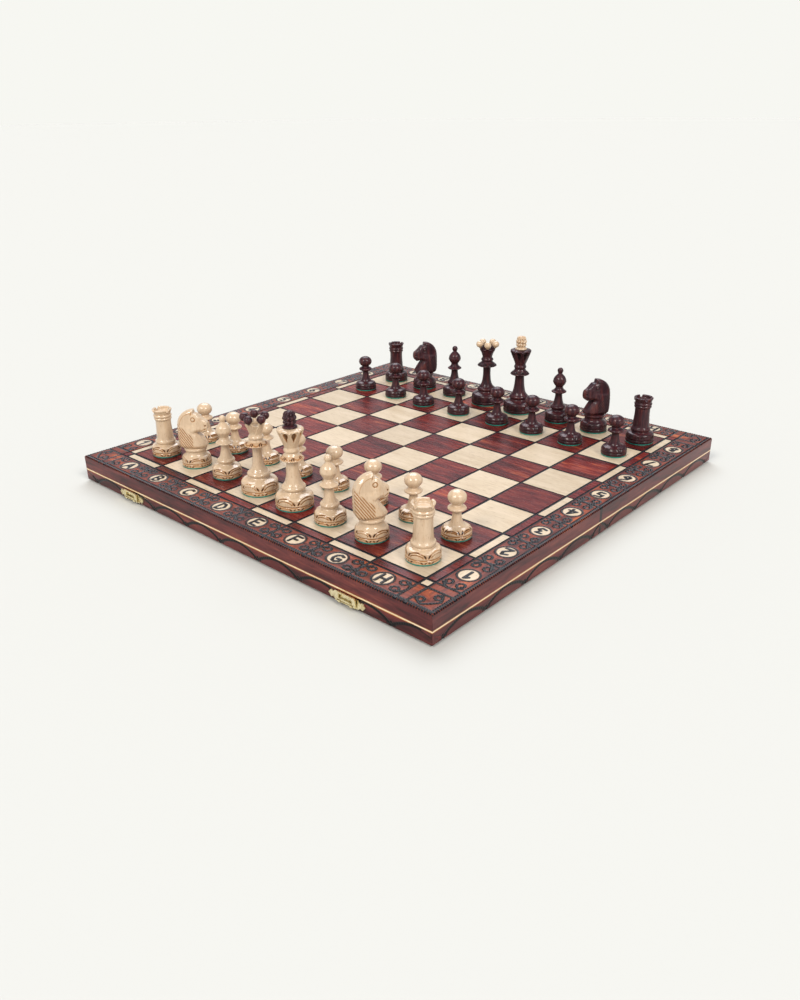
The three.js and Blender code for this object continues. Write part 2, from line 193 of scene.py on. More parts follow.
class Solid:
    """Points and faces gathered from several shapes, with marks: named numbers at each point."""

    def __init__(self, *labels):
        self.points = []
        self.faces = []
        self.slots = []
        self.marks = {label: [] for label in labels}
        self.count = 0

    def add(self, points, faces, slot=0, **marks):
        points = np.asarray(points, float)
        self.points.append(points)
        self.faces += [tuple(i + self.count for i in f) for f in faces]
        self.slots += [slot] * len(faces)
        for label, values in self.marks.items():
            given = marks.get(label, 0.0)
            values.append(np.broadcast_to(np.asarray(given, float), len(points)))
        self.count += len(points)

    def add_box(self, low, high, slot=0, bevel=0.0, wall_slot=None, **marks):
        """A box, with its upper edges bevelled and its walls of another material if given."""
        (x0, y0, z0), (x1, y1, z1) = low, high
        rings = [(x0, y0, x1, y1, z0), (x0, y0, x1, y1, z1 - bevel)]
        if bevel:
            rings.append((x0 + bevel, y0 + bevel, x1 - bevel, y1 - bevel, z1))
        points = []
        for a, b, c, d, z in rings:
            points += [(a, b, z), (c, b, z), (c, d, z), (a, d, z)]
        faces = [(3, 2, 1, 0)]
        for r in range(len(rings) - 1):
            for i in range(4):
                j = (i + 1) % 4
                faces.append((4 * r + i, 4 * r + j, 4 * r + 4 + j, 4 * r + 4 + i))
        top = 4 * (len(rings) - 1)
        faces.append((top, top + 1, top + 2, top + 3))
        self.add(points, faces, slot, **marks)
        if wall_slot is not None:
            self.slots[-len(faces) : -1] = [wall_slot] * (len(faces) - 1)

    def to_mesh(self, name, materials, smooth_shading=False):
        mesh = bpy.data.meshes.new(name)
        mesh.from_pydata((np.vstack(self.points) * MM).tolist(), [], self.faces)
        for material in materials:
            mesh.materials.append(material)
        mesh.polygons.foreach_set("material_index", np.array(self.slots, np.int32))
        mesh.polygons.foreach_set("use_smooth", [smooth_shading] * len(mesh.polygons))
        for label, values in self.marks.items():
            layer = mesh.attributes.new(label, "FLOAT", "POINT")
            layer.data.foreach_set("value", np.concatenate(values).astype(np.float32))
        mesh.update()
        return mesh


def grid_faces(rows, columns, closed=False):
    """Quads between neighbouring points of a grid, row by row."""
    last = columns if closed else columns - 1
    i, j = np.meshgrid(np.arange(rows - 1), np.arange(last), indexing="ij")
    k = (j + 1) % columns
    a, b = i * columns + j, i * columns + k
    return np.stack([a, b, b + columns, a + columns], axis=-1).reshape(-1, 4)


# ---------------------------------------------------------------- materials


def fill_ramp(node, stops):
    """Sets a colour ramp's stops, each a position and a colour."""
    elements = node.color_ramp.elements
    while len(elements) < len(stops):
        elements.new(0.5)
    for element, (position, colour) in zip(elements, stops):
        element.position = position
        element.color = (*colour, 1)


class Graph:
    """A material's node tree, built one node at a time."""

    def __init__(self, name):
        self.material = bpy.data.materials.new(name)
        self.material.use_nodes = True
        self.tree = self.material.node_tree
        self.shader = self.tree.nodes["Principled BSDF"]

    def add(self, kind, inputs=None, output=0, **settings):
        node = self.tree.nodes.new("ShaderNode" + kind)
        for key, value in settings.items():
            setattr(node, key, value)
        for key, value in (inputs or {}).items():
            self.set(node, key, value)
        return node.outputs[output]

    def set(self, node, key, value):
        socket = node.inputs[key]
        if isinstance(value, bpy.types.NodeSocket):
            self.tree.links.new(value, socket)
        else:
            socket.default_value = value

    def finish(self, **inputs):
        for key, value in inputs.items():
            self.set(self.shader, key.replace("_", " "), value)
        return self.material

    def coordinates(self):
        return self.add("TexCoord", output="Object")

    def mark(self, label):
        return self.add("Attribute", attribute_name=label, output="Fac")

    def math(self, operation, a, b=0.0, c=0.5, clamp=False):
        return self.add("Math", {0: a, 1: b, 2: c}, operation=operation, use_clamp=clamp)

    def spread(self, value, low, high, start=0.0, end=1.0):
        """The value from start to end as a number from low to high."""
        inputs = {"Value": value, "From Min": start, "From Max": end, "To Min": low, "To Max": high}
        return self.add("MapRange", inputs)

    def stretch(self, vector, scale, shift=None):
        inputs = {"Vector": vector, "Scale": scale}
        if shift is not None:
            inputs["Location"] = shift
        return self.add("Mapping", inputs)

    def noise(self, vector, scale, detail=3.0, rough=0.55, distortion=0.0):
        inputs = {"Vector": vector, "Scale": scale, "Detail": detail}
        inputs |= {"Roughness": rough, "Distortion": distortion}
        return self.add("TexNoise", inputs, output="Fac")

    def ramp(self, factor, stops):
        node = self.tree.nodes.new("ShaderNodeValToRGB")
        fill_ramp(node, stops)
        self.tree.links.new(factor, node.inputs["Fac"])
        return node.outputs["Color"]

    def mix(self, factor, a, b, blend="MIX"):
        node = self.tree.nodes.new("ShaderNodeMix")
        node.data_type = "RGBA"
        node.blend_type = blend
        self.set(node, 0, factor)
        self.set(node, 6, a if isinstance(a, bpy.types.NodeSocket) else (*a, 1))
        self.set(node, 7, b if isinstance(b, bpy.types.NodeSocket) else (*b, 1))
        return node.outputs[2]

    def bump(self, height, distance, strength=1.0, normal=None):
        inputs = {"Height": height, "Distance": distance, "Strength": strength}
        if normal is not None:
            inputs["Normal"] = normal
        return self.add("Bump", inputs)


# Colours of each wood: along its grain from deep to pale, and burnt lightly and fully.
PALE_SQUARE = {
    "deep": (0.54, 0.42, 0.285),
    "middle": (0.59, 0.475, 0.335),
    "pale": (0.63, 0.505, 0.365),
    "streak": (0.66, 0.545, 0.41),
    "scorched": (0.42, 0.17, 0.04),
    "burnt": (0.030, 0.012, 0.008),
}
LIGHT_WOOD = {
    "deep": (0.575, 0.415, 0.270),
    "middle": (0.62, 0.455, 0.300),
    "pale": (0.655, 0.49, 0.328),
    "streak": (0.69, 0.53, 0.365),
    "scorched": (0.40, 0.17, 0.04),
    "burnt": (0.022, 0.008, 0.005),
}
SQUARE_WOOD = {
    "deep": (0.050, 0.006, 0.006),
    "middle": (0.125, 0.013, 0.012),
    "pale": (0.200, 0.026, 0.016),
    "streak": (0.420, 0.095, 0.028),
}
BAND_WOOD = {
    "deep": (0.050, 0.010, 0.008),
    "middle": (0.135, 0.024, 0.014),
    "pale": (0.260, 0.050, 0.018),
    "streak": (0.500, 0.130, 0.030),
    "scorched": (0.014, 0.005, 0.005),
    "burnt": (0.004, 0.003, 0.004),
}
BLACK_WOOD = {
    "deep": (0.022, 0.007, 0.011),
    "middle": (0.042, 0.011, 0.016),
    "pale": (0.078, 0.019, 0.020),
    "streak": (0.150, 0.040, 0.030),
    "scorched": (0.020, 0.006, 0.006),
    "burnt": (0.005, 0.003, 0.004),
}
SIDE_WOOD = {
    "deep": (0.040, 0.009, 0.010),
    "middle": (0.095, 0.018, 0.019),
    "pale": (0.150, 0.030, 0.027),
    "streak": (0.240, 0.060, 0.040),
    "scorched": (0.012, 0.006, 0.006),
    "burnt": (0.005, 0.003, 0.004),
}
INLAY_WOOD = {
    "deep": (0.74, 0.57, 0.34),
    "middle": (0.84, 0.68, 0.44),
    "pale": (0.90, 0.75, 0.52),
    "streak": (0.95, 0.82, 0.62),
}
INLAY_EDGE = {
    "deep": (0.36, 0.11, 0.02),
    "middle": (0.50, 0.18, 0.035),
    "pale": (0.62, 0.26, 0.05),
    "streak": (0.75, 0.36, 0.09),
}
PAINTED_GLINT = (0.30, 0.34, 0.44)  # painted glint: a bluish highlight colour painted on the crests between the pits of a burnt line

# Streaks per metre along X, Y and Z.
GRAIN_ALONG_X = (9.0, 62.0, 62.0)
GRAIN_ALONG_Y = (62.0, 9.0, 62.0)
GRAIN_UPRIGHT = (95.0, 95.0, 16.0)


def grain_colour(g, wood, stretch, shift=None):
    """Long streaks, broad figure and short dark pores along the grain."""
    place_in_wood = g.stretch(g.coordinates(), stretch, shift)
    broad = g.noise(place_in_wood, 1.0, 2.0, 0.5, 1.2)
    streak = g.noise(place_in_wood, 4.5, 4.0, 0.65, 0.3)
    both = g.math("MULTIPLY_ADD", broad, 0.55, g.math("MULTIPLY", streak, 0.45))
    stops = [(0.38, wood["deep"]), (0.49, wood["middle"]), (0.59, wood["pale"])]
    colour = g.ramp(both, [*stops, (0.70, wood["streak"])])
    pores = g.noise(place_in_wood, 14.0, 2.0, 0.5)
    fine = g.ramp(pores, [(0.30, (0.72, 0.66, 0.62)), (0.42, (1, 1, 1))])
    return g.mix(0.8, colour, fine, "MULTIPLY"), streak, pores


def shifted(g):
    """Each square's own place in the plank that it was cut from."""
    tone = g.mark("tone")
    return g.add("CombineXYZ", {0: g.math("MULTIPLY", tone, 7.3), 1: tone, 2: tone}), tone


def toned(g, colour, tone, low, high):
    """The same wood a little darker or lighter from one piece to the next."""
    amount = g.spread(tone, low, high)
    grey = g.add("CombineColor", {0: amount, 1: amount, 2: amount})
    return g.mix(1.0, colour, grey, "MULTIPLY")


def charred(g, colour, wood):
    """Burning by the burn mark: first scorched brown, then black."""
    speckle = g.noise(g.coordinates(), 900.0, 2.0)
    uneven = g.math("MULTIPLY_ADD", speckle, 0.5, 0.75)
    burn = g.math("MULTIPLY", g.mark("burn"), uneven, clamp=True)
    light = g.spread(burn, 0, 1, 0.04, 0.38)
    dark = g.spread(burn, 0, 1, 0.40, 0.78)
    colour = g.mix(light, colour, wood["scorched"])
    return g.mix(dark, colour, wood["burnt"]), dark


GRAIN_DEPTH = 0.00004  # metres


def lacquered(g, colour, rough, streak, pores, dark=None):
    """Lacquer over the grain, and a little glossier where the wood is burnt."""
    roughness = g.spread(streak, rough - 0.05, rough + 0.07)
    if dark is not None:
        roughness = g.math("MULTIPLY_ADD", dark, -0.06, roughness)
    return {
        "Base_Color": colour,
        "Roughness": roughness,
        "Normal": g.bump(pores, GRAIN_DEPTH, 0.5, g.bump(streak, GRAIN_DEPTH * 2, 0.35)),
    }


def square_material(name, wood, low, high, rough):
    g = Graph(name)
    shift, tone = shifted(g)
    colour, streak, pores = grain_colour(g, wood, GRAIN_ALONG_X, shift)
    colour = toned(g, colour, tone, low, high)
    inputs = lacquered(g, colour, rough, streak, pores)
    return g.finish(**inputs, Specular_IOR_Level=0.22)


def carved_material(name, wood, stretch, rough, coat, bare=None):
    """Wood burnt by the burn mark. With bare, also another wood by the pale mark, and a painted glint:
    a highlight colour painted on the crests between pits.
    """
    g = Graph(name)
    colour, streak, pores = grain_colour(g, wood, stretch)
    if bare is not None:
        colour = g.mix(g.mark("pale"), colour, grain_colour(g, bare, stretch)[0])
    colour, dark = charred(g, colour, wood)
    if bare is not None:
        # Painted glint: the crest mark mixes a bluish highlight colour into the burnt lines, standing
        # in for glints off the pits.
        colour = g.mix(g.mark("crest"), colour, PAINTED_GLINT)
    inputs = lacquered(g, colour, rough, streak, pores, dark)
    return g.finish(**inputs, Coat_Weight=coat, Coat_Roughness=0.08, Specular_IOR_Level=0.2)


def burnt_material():
    """The grooves between the squares: black, with a dull gloss."""
    g = Graph("burnt_groove")
    cells = g.add("TexVoronoi", {"Vector": g.coordinates(), "Scale": 360.0}, output="Distance")
    colour = g.ramp(cells, [(0.1, (0.003, 0.003, 0.005)), (0.7, (0.010, 0.009, 0.013))])
    bumps = g.bump(cells, 0.0006, 0.6)
    return g.finish(Base_Color=colour, Roughness=0.45, Normal=bumps, Specular_IOR_Level=0.2)


def stringing_material():
    g = Graph("stringing_wood")
    colour, streak, pores = grain_colour(g, INLAY_WOOD, (30.0, 30.0, 160.0))
    colour = g.mix(g.spread(g.mark("burn"), 0, 1, 0.2, 0.8), colour, INLAY_EDGE["middle"])
    return g.finish(**lacquered(g, colour, 0.3, streak, pores), Coat_Weight=0.3)


def brass_material():
    g = Graph("pale_brass")
    haze = g.noise(g.coordinates(), 260.0, 4.0, 0.6)
    scratch = g.noise(g.stretch(g.coordinates(), (40.0, 600.0, 900.0)), 1.0, 3.0)
    colour = g.ramp(haze, [(0.3, (0.62, 0.50, 0.24)), (0.6, (0.93, 0.84, 0.56))])
    return g.finish(
        Base_Color=colour,
        Metallic=1.0,
        Roughness=g.spread(haze, 0.18, 0.42),
        Normal=g.bump(scratch, 0.00003, 0.4),
    )


def felt_material():
    g = Graph("green_felt")
    fibres = g.noise(g.coordinates(), 2200.0, 3.0, 0.7)
    clumps = g.noise(g.coordinates(), 300.0, 2.0)
    mixed = g.math("MULTIPLY", fibres, clumps)
    colour = g.ramp(mixed, [(0.10, (0.003, 0.12, 0.095)), (0.40, (0.012, 0.30, 0.23))])
    return g.finish(
        Base_Color=colour,
        Roughness=0.92,
        Sheen_Weight=0.4,
        Sheen_Roughness=0.4,
        Normal=g.bump(fibres, 0.0003, 0.7),
    )


LIGHT_SQUARE = square_material("light_square", PALE_SQUARE, 0.88, 0.99, 0.30)
DARK_SQUARE = square_material("dark_square", SQUARE_WOOD, 0.75, 1.2, 0.26)
BAND_X = carved_material("carved_band_x", BAND_WOOD, GRAIN_ALONG_X, 0.32, 0.0, PALE_SQUARE)
BAND_Y = carved_material("carved_band_y", BAND_WOOD, GRAIN_ALONG_Y, 0.32, 0.0, PALE_SQUARE)
SIDE_X = carved_material("carved_side_x", SIDE_WOOD, GRAIN_ALONG_X, 0.34, 0.1, INLAY_EDGE)
SIDE_Y = carved_material("carved_side_y", SIDE_WOOD, GRAIN_ALONG_Y, 0.34, 0.3, INLAY_EDGE)
GROOVE_FLOOR = burnt_material()
STRINGING = stringing_material()
BRASS = brass_material()
FELT = felt_material()
TOP_MATERIALS = [BAND_X, DARK_SQUARE, LIGHT_SQUARE, GROOVE_FLOOR, BAND_Y, SIDE_X, SIDE_Y]
WHITE_PIECE = carved_material("white_piece_wood", LIGHT_WOOD, GRAIN_UPRIGHT, 0.34, 1.0)
BLACK_PIECE = carved_material("black_piece_wood", BLACK_WOOD, GRAIN_UPRIGHT, 0.40, 0.30)


# ---------------------------------------------------------------- the board's top


def spiral(centre, start, turns, radius=5.0, inner=2.5):
    """A scroll that winds outwards from its eye; the angle is in degrees."""
    t = np.linspace(0, 1, 60)
    a = math.radians(start) + 2 * math.pi * turns * t
    r = inner + (radius - inner) * t
    return np.stack([centre[0] + r * np.cos(a), centre[1] + r * np.sin(a)], axis=1)


SCROLL_CENTRE = (9.6, 6.9)  # from the middle of the crossing, along and across the band


def scroll_arm():
    """From the crossing's middle out to a scroll's eye, up and to the right."""
    scroll = spiral(SCROLL_CENTRE, 150, -1.06)[::-1]
    lead = curve([(0, 0), (1.8, 5.2), scroll[0]], 0.4)
    return np.vstack([lead[:-1], scroll])


def crossing(u, sides=(-1, 1)):
    """Scrolls on both sides of a line across the band, or on one side of it."""
    arm = scroll_arm()
    return [arm * (side, up) + (u, BAND_MIDDLE) for side in sides for up in (-1, 1)]


def corner_horns(side):
    """A pair of scrolls in the corner block, alike about the block's diagonal."""
    horn = spiral((8.2, -0.6), -60, 1.05, 4.6)[::-1]
    lead = curve([(0, 7.4), (5.0, 7.2), (9.2, 5.4), horn[0]], 0.4)
    one = np.vstack([lead[:-1], horn])
    lines = []
    for mirror in (-1, 1):
        p = one * (mirror, 1)
        u, v = (p[:, 0] + p[:, 1]) * math.sqrt(0.5), (p[:, 1] - p[:, 0]) * math.sqrt(0.5)
        lines.append(np.stack([side * (BAND_MIDDLE + u), BAND_MIDDLE + v], axis=1))
    return lines


# Letters and digits as strokes, a unit high about their middle.
GLYPHS = {
    "A": [[(-0.4, -0.5), (0, 0.5), (0.4, -0.5)], [(-0.24, -0.12), (0.24, -0.12)]],
    "B": [
        [(-0.3, -0.5), (-0.3, 0.5), (0.1, 0.5), (0.28, 0.26), (0.1, 0.02), (-0.3, 0.02)],
        [(0.1, 0.02), (0.34, -0.24), (0.1, -0.5), (-0.3, -0.5)],
    ],
    "C": [arc((0.06, 0), (0.38, 0.5), 50, 310)],
    "D": [[(-0.3, -0.5), (-0.3, 0.5), (0.1, 0.46), (0.36, 0), (0.1, -0.46), (-0.3, -0.5)]],
    "E": [[(0.3, 0.5), (-0.3, 0.5), (-0.3, -0.5), (0.3, -0.5)], [(-0.3, 0), (0.2, 0)]],
    "F": [[(0.3, 0.5), (-0.26, 0.5), (-0.26, -0.5)], [(-0.26, 0), (0.2, 0)]],
    "G": [arc((0.06, 0), (0.38, 0.5), 50, 330), [(0.08, -0.04), (0.4, -0.04), (0.4, -0.3)]],
    "H": [[(-0.32, -0.5), (-0.32, 0.5)], [(0.32, -0.5), (0.32, 0.5)], [(-0.32, 0), (0.32, 0)]],
    "1": [[(-0.2, 0.26), (0.06, 0.5), (0.06, -0.5)]],
    "2": [[*arc((0, 0.22), (0.28, 0.28), 160, -30), (-0.3, -0.5), (0.32, -0.5)]],
    "3": [arc((0, 0.25), (0.26, 0.25), 150, -90), arc((0, -0.25), (0.3, 0.25), 90, -150)],
    "4": [[(0.34, -0.2), (-0.34, -0.2), (0.12, 0.5), (0.12, -0.5)]],
    "5": [[(0.3, 0.5), (-0.22, 0.5), (-0.26, 0.06), *arc((0, -0.17), (0.3, 0.33), 120, -140)]],
    "6": [arc((0.02, -0.22), (0.28, 0.28), 0, 360), arc((0.3, -0.1), (0.58, 0.6), 90, 185)],
    "7": [[(-0.3, 0.5), (0.32, 0.5), (-0.06, -0.5)]],
    "8": [arc((0, 0.25), (0.24, 0.25), 0, 360), arc((0, -0.24), (0.3, 0.26), 0, 360)],
}
GLYPH_HEIGHT = 12.6


def glyph_lines(text, u, upright):
    """The strokes of one letter or digit in its medallion."""
    lines = []
    for stroke in GLYPHS[text]:
        p = np.array(stroke) * GLYPH_HEIGHT
        right, up = p[:, 0], p[:, 1]
        if upright:
            lines.append(np.stack([u + right, BAND_MIDDLE - up], axis=1))
        else:
            lines.append(np.stack([u - up, BAND_MIDDLE - right], axis=1))
    return lines


def band_lines():
    """The burnt lines that all four sides share, along u and outwards to v."""
    straight = []
    for rank in range(-4, 5):
        straight.append([(rank * SQUARE, OUTER_LINE), (rank * SQUARE, HALF_SIDE)])
    for side in (-1, 1):
        straight.append([(side * OUTER_LINE, OUTER_LINE), (side * OUTER_LINE, HALF_SIDE)])
    straight.append([(-ROPE_LINE, ROPE_LINE), (ROPE_LINE, ROPE_LINE)])
    scrolls = []
    for rank in range(-3, 4):
        scrolls += crossing(rank * SQUARE)
    scrolls += crossing(-INNER_LINE, sides=(1,)) + crossing(INNER_LINE, sides=(-1,))
    scrolls += corner_horns(-1) + corner_horns(1)
    return Strokes(straight), Strokes(scrolls)


STRAIGHT_LINES, SCROLL_LINES = band_lines()
MEDALLIONS = [(i - 3.5) * SQUARE for i in range(8)]


def side_texts(turn):
    """The letters or digits of one side, in the order of its medallions."""
    texts = "ABCDEFGH" if turn % 2 == 0 else "12345678"
    return texts if turn in (0, 1) else texts[::-1]


BEAD_STEP = 2.9  # spacing of the pits along a burnt line


def pitted(distance, station, wide):
    """A burnt line of touching pits: depth, burning, and the crests between pits where a glint is
    painted.
    """
    pits = 0.5 + 0.5 * np.cos(2 * math.pi * station / BEAD_STEP)
    half = wide * (0.78 + 0.22 * pits)
    cut = smooth(half + 0.45, half - 0.65, distance)
    # Where the painted glint goes: the crests between pits, near the line's middle.
    crest = smooth(0.32, 0.1, pits) * smooth(0.75 * wide, 0.35 * wide, distance)
    return cut * (0.15 + 0.7 * pits), smooth(half + 0.5, half - 0.1, distance), crest


def medallion(u, v, turn):
    """The beaded ring, the pale disc and the letter or digit of each square's medallion."""
    middles = np.array(MEDALLIONS)
    along = middles[np.abs(u[:, None] - middles[None, :]).argmin(axis=1)]
    radius = np.hypot(u - along, v - BAND_MIDDLE)
    around = np.arctan2(v - BAND_MIDDLE, u - along)
    ring, burn, crest = pitted(np.abs(radius - MEDALLION_RING), around * MEDALLION_RING, 0.8)
    inside = smooth(MEDALLION_RADIUS + 0.2, MEDALLION_RADIUS - 0.4, radius)
    glyphs = []
    for text, middle in zip(side_texts(turn), MEDALLIONS):
        glyphs += glyph_lines(text, middle, upright=turn % 2 == 0)
    written = smooth(1.9, 1.1, Strokes(glyphs).near(u, v)[0]) * inside
    return ring, burn, crest, inside, written


def carve_band(u, v, z, turn):
    """Depth in millimetres, burning, bare wood, and the crests where a glint is painted, of a side's
    band.
    """
    marks = [pitted(*STRAIGHT_LINES.near(u, v), 1.2), pitted(*SCROLL_LINES.near(u, v), 1.2)]
    ring, ring_burn, ring_glint_crest, pale, written = medallion(u, v, turn)
    marks.append((ring, ring_burn, ring_glint_crest))
    depth, burn, crest = np.max(marks, axis=0)
    crest = crest * (burn > 0.6)
    burn = np.where(pale > 0.5, written, burn)
    depth = np.where(pale > 0.5, 0.4 * written, depth)
    crest = np.where(pale > 0.5, 0, crest)

    nick = 0.5 + 0.5 * np.cos(2 * math.pi * u / BEAD_STEP)
    outside = smooth(ROPE_LINE + 0.9, ROPE_LINE + 1.5, v)
    depth = np.maximum(depth, 0.7 * outside * nick)
    burn = np.maximum(burn, outside * smooth(0.2, 0.75, nick))
    above = smooth(BOARD_TOP - CHAMFER - 0.1, BOARD_TOP - CHAMFER + 0.3, z)
    burn = burn * above
    if turn % 2:
        burn = np.maximum(burn, at_fold(u))
    # The last mark sets how much painted glint colour each crest gets.
    return depth * above, burn, pale, 0.04 * crest * above


def band_section():
    """The band's cross-section: outwards v, height z, and the way that carving sinks."""
    first = OUTER_LINE + GROOVE / 2
    flat = even(np.array([(first, BOARD_TOP), (HALF_SIDE - CHAMFER, BOARD_TOP)]), BAND_STEP)
    slope = arc((HALF_SIDE - CHAMFER, BOARD_TOP - CHAMFER), CHAMFER, 80, 10, BAND_STEP)
    edge = [(HALF_SIDE, BOARD_TOP - CHAMFER), (HALF_SIDE, PANEL_BOTTOM)]
    section = np.vstack([[(first, BOARD_TOP - GROOVE_DEPTH)], flat, slope, edge])
    lean = smooth(HALF_SIDE - CHAMFER, HALF_SIDE, section[:, 0]) * 0.5 * math.pi
    sink = np.stack([-np.sin(lean), -np.cos(lean)], axis=1)
    sink[0] = 0
    sink[-2:] = 0
    return section, sink


def turned_side(points, turn):
    """From one side's own (u, v, z) to the board's x, y, z; turn counts quarter turns."""
    u, v, z = points.T
    x, y = [(u, -v), (v, u), (-u, v), (-v, -u)][turn]
    return np.stack([x, y, z], axis=1)


def side_limits(turn, half, v):
    """Where a side's strip starts and ends along u: at a mitred corner or at the fold."""
    if turn % 2 == 0:
        return -v, v
    fold = np.full_like(v, FOLD_EDGE)
    return (-v, -fold) if (turn == 1) == (half == "white") else (fold, v)


def band_strip(solid, turn, half):
    section, sink = band_section()
    start, end = side_limits(turn, half, section[:, 0])
    columns = int((end[0] - start[0]) / BAND_STEP)
    t = np.linspace(0, 1, columns)
    u = start[:, None] + (end - start)[:, None] * t[None, :]
    v = np.repeat(section[:, :1], columns, axis=1)
    z = np.repeat(section[:, 1:], columns, axis=1)
    depth, burn, pale, crest = carve_band(u.ravel(), v.ravel(), z.ravel(), turn)
    depth = depth.reshape(u.shape)
    v = v + depth * sink[:, :1]
    z = z + depth * sink[:, 1:]
    points = np.stack([u.ravel(), v.ravel(), z.ravel()], axis=1)
    faces = grid_faces(len(section), columns)
    solid.add(turned_side(points, turn), faces, burn=burn, pale=pale, crest=crest)
    edge = columns - 1  # the last row of faces is the upright side
    band, side = (BAND_Y, SIDE_Y) if turn % 2 else (BAND_X, SIDE_X)
    solid.slots[-len(faces) :] = [TOP_MATERIALS.index(band)] * (len(faces) - edge)
    solid.slots += [TOP_MATERIALS.index(side)] * edge


def plank_tone(i, j):
    """A settled number from 0 to 1 for the square in column i and row j."""
    return (math.sin(12.9898 * i + 78.233 * j + 4.7) * 43758.5453) % 1.0


def add_squares(solid, half):
    """The playing squares and the narrow strip round them."""
    lines = [-OUTER_LINE] + [k * SQUARE for k in range(-4, 5)] + [OUTER_LINE]
    inset = GROOVE / 2
    rows = range(0, 5) if half == "white" else range(5, 10)
    for i in range(10):
        for j in rows:
            low = [lines[i] + inset, lines[j] + inset]
            high = [lines[i + 1] - inset, lines[j + 1] - inset]
            if j == 4:
                high[1] = -FOLD_EDGE - FOLD_GAP
            if j == 5:
                low[1] = FOLD_EDGE + FOLD_GAP
            wood = LIGHT_SQUARE if (i + j) % 2 else DARK_SQUARE
            solid.add_box(
                (*low, BOARD_TOP - SQUARE_DEPTH),
                (*high, BOARD_TOP),
                slot=TOP_MATERIALS.index(wood),
                bevel=SQUARE_BEVEL,
                wall_slot=TOP_MATERIALS.index(GROOVE_FLOOR),
                tone=plank_tone(i, j),
            )


def add_half_top(half):
    """One half of the board's top: the sheet, its squares and the carved band."""
    solid = Solid("tone", "burn", "pale", "crest")
    sign = -1 if half == "white" else 1
    floor = TOP_MATERIALS.index(GROOVE_FLOOR)
    for reach, bottom, top, slot in (
        (HALF_SIDE - EDGE_MARGIN, PANEL_BOTTOM, PANEL_BOTTOM + SHEET, 0),
        (OUTER_LINE + GROOVE / 2, PANEL_BOTTOM + SHEET - 1, BOARD_TOP - GROOVE_DEPTH, floor),
    ):
        y = sorted((sign * FOLD_EDGE, sign * reach))
        solid.add_box((-reach, y[0], bottom), (reach, y[1], top), slot)
    add_squares(solid, half)
    for turn in (0, 1, 3) if half == "white" else (2, 1, 3):
        band_strip(solid, turn, half)
    for side in (-1, 1):
        x = sorted((side * (OUTER_LINE - 1), side * (HALF_SIDE - 1)))
        y = sorted((sign * FOLD_EDGE, sign * (FOLD_EDGE + FOLD_STRIP)))
        solid.add_box((x[0], y[0], PANEL_BOTTOM), (x[1], y[1], BOARD_TOP - 1.2))
    mesh = solid.to_mesh(f"{half}_half_top", TOP_MATERIALS)
    shade_carving_smooth(mesh)
    place_on_half(mesh, half, "board_wood", f"{half}_half_panel")


def shade_carving_smooth(mesh):
    """Soft shading on the small faces of carved surfaces, and flat on the rest."""
    small = (1.6 * BAND_STEP * MM) ** 2
    mesh.polygons.foreach_set("use_smooth", [face.area < small for face in mesh.polygons])
    mesh.update()


def place_on_half(mesh, half, slot, node):
    place(add_object(mesh.name, mesh), f"{half}_half", slot, node)


# ---------------------------------------------------------------- the board's sides

FRONT_FESTOON = {"spacing": 1.034 * SQUARE, "first": -4.336 * SQUARE, "count": 9}
SIDE_FESTOON = {"spacing": 1.055 * SQUARE, "first": 0.28 * SQUARE, "count": 5}
FESTOON_LOW = 0.6
FESTOON_RISE = 10.4
FESTOON_PIT_STEP = 3.0
CUSP_PITS = ((0, 4.4), (2.6, 3.4), (4.6, 2.2))  # from a cusp along the side, and up


def at_fold(u):
    """The burnt edges of both halves where they meet."""
    return smooth(2.4, 1.4, np.abs(u))


def festoon_lines(turn):
    """Burnt arches along a side's lower part, from cusp to cusp and on past both ends."""
    festoon = SIDE_FESTOON if turn % 2 else FRONT_FESTOON
    spacing = festoon["spacing"]
    cusps = [festoon["first"] + k * spacing for k in range(festoon["count"])]
    if turn % 2:
        cusps = [-c for c in cusps[::-1]] + cusps
    cusps = [cusps[0] - spacing, *cusps, cusps[-1] + spacing]
    lines = []
    for a, b in zip(cusps, cusps[1:]):
        t = np.linspace(0, 1, 60)
        z = FESTOON_LOW + FESTOON_RISE * np.sin(math.pi * t) ** 0.75
        lines.append(np.stack([a + (b - a) * t, z], axis=1))
    return Strokes(lines), np.array(cusps)


def carve_side(u, z, turn):
    """Depth and burning of the festoons and pits on a side face."""
    lines, cusps = festoon_lines(turn)
    distance, station = lines.near(u, z)
    pits = 0.5 + 0.5 * np.cos(2 * math.pi * station / FESTOON_PIT_STEP)
    depth = smooth(1.5, 0.5, distance) * (0.45 + 0.25 * pits)
    burn = smooth(1.8, 0.8, distance)
    if turn % 2:
        burn = np.maximum(burn, at_fold(u))
    beside = np.abs(u[:, None] - cusps[None, :]).min(axis=1)
    for along, up in CUSP_PITS:
        pit = np.hypot(beside - along, z - up)
        depth = np.maximum(depth, 0.6 * smooth(1.2, 0.4, pit))
        burn = np.maximum(burn, smooth(1.3, 0.6, pit))
    return depth, burn


def outer_face(turn, low, high):
    """Where a rail lies along its side's u, from its CAD box."""
    axis = turn % 2
    return (low[axis], high[axis]) if turn < 2 else (-high[axis], -low[axis])


INLAY_EDGE_WIDTH = 0.8  # of the orange veneer beside the pale stringing
STRING_DEPTH = 1.0  # of the stringing's groove
RAIL_SKIN = 1.5  # from a rail's plain bar out to its carved face
RAIL_CAP_TOP = 11.5  # of the small blocks that close the ends of that space


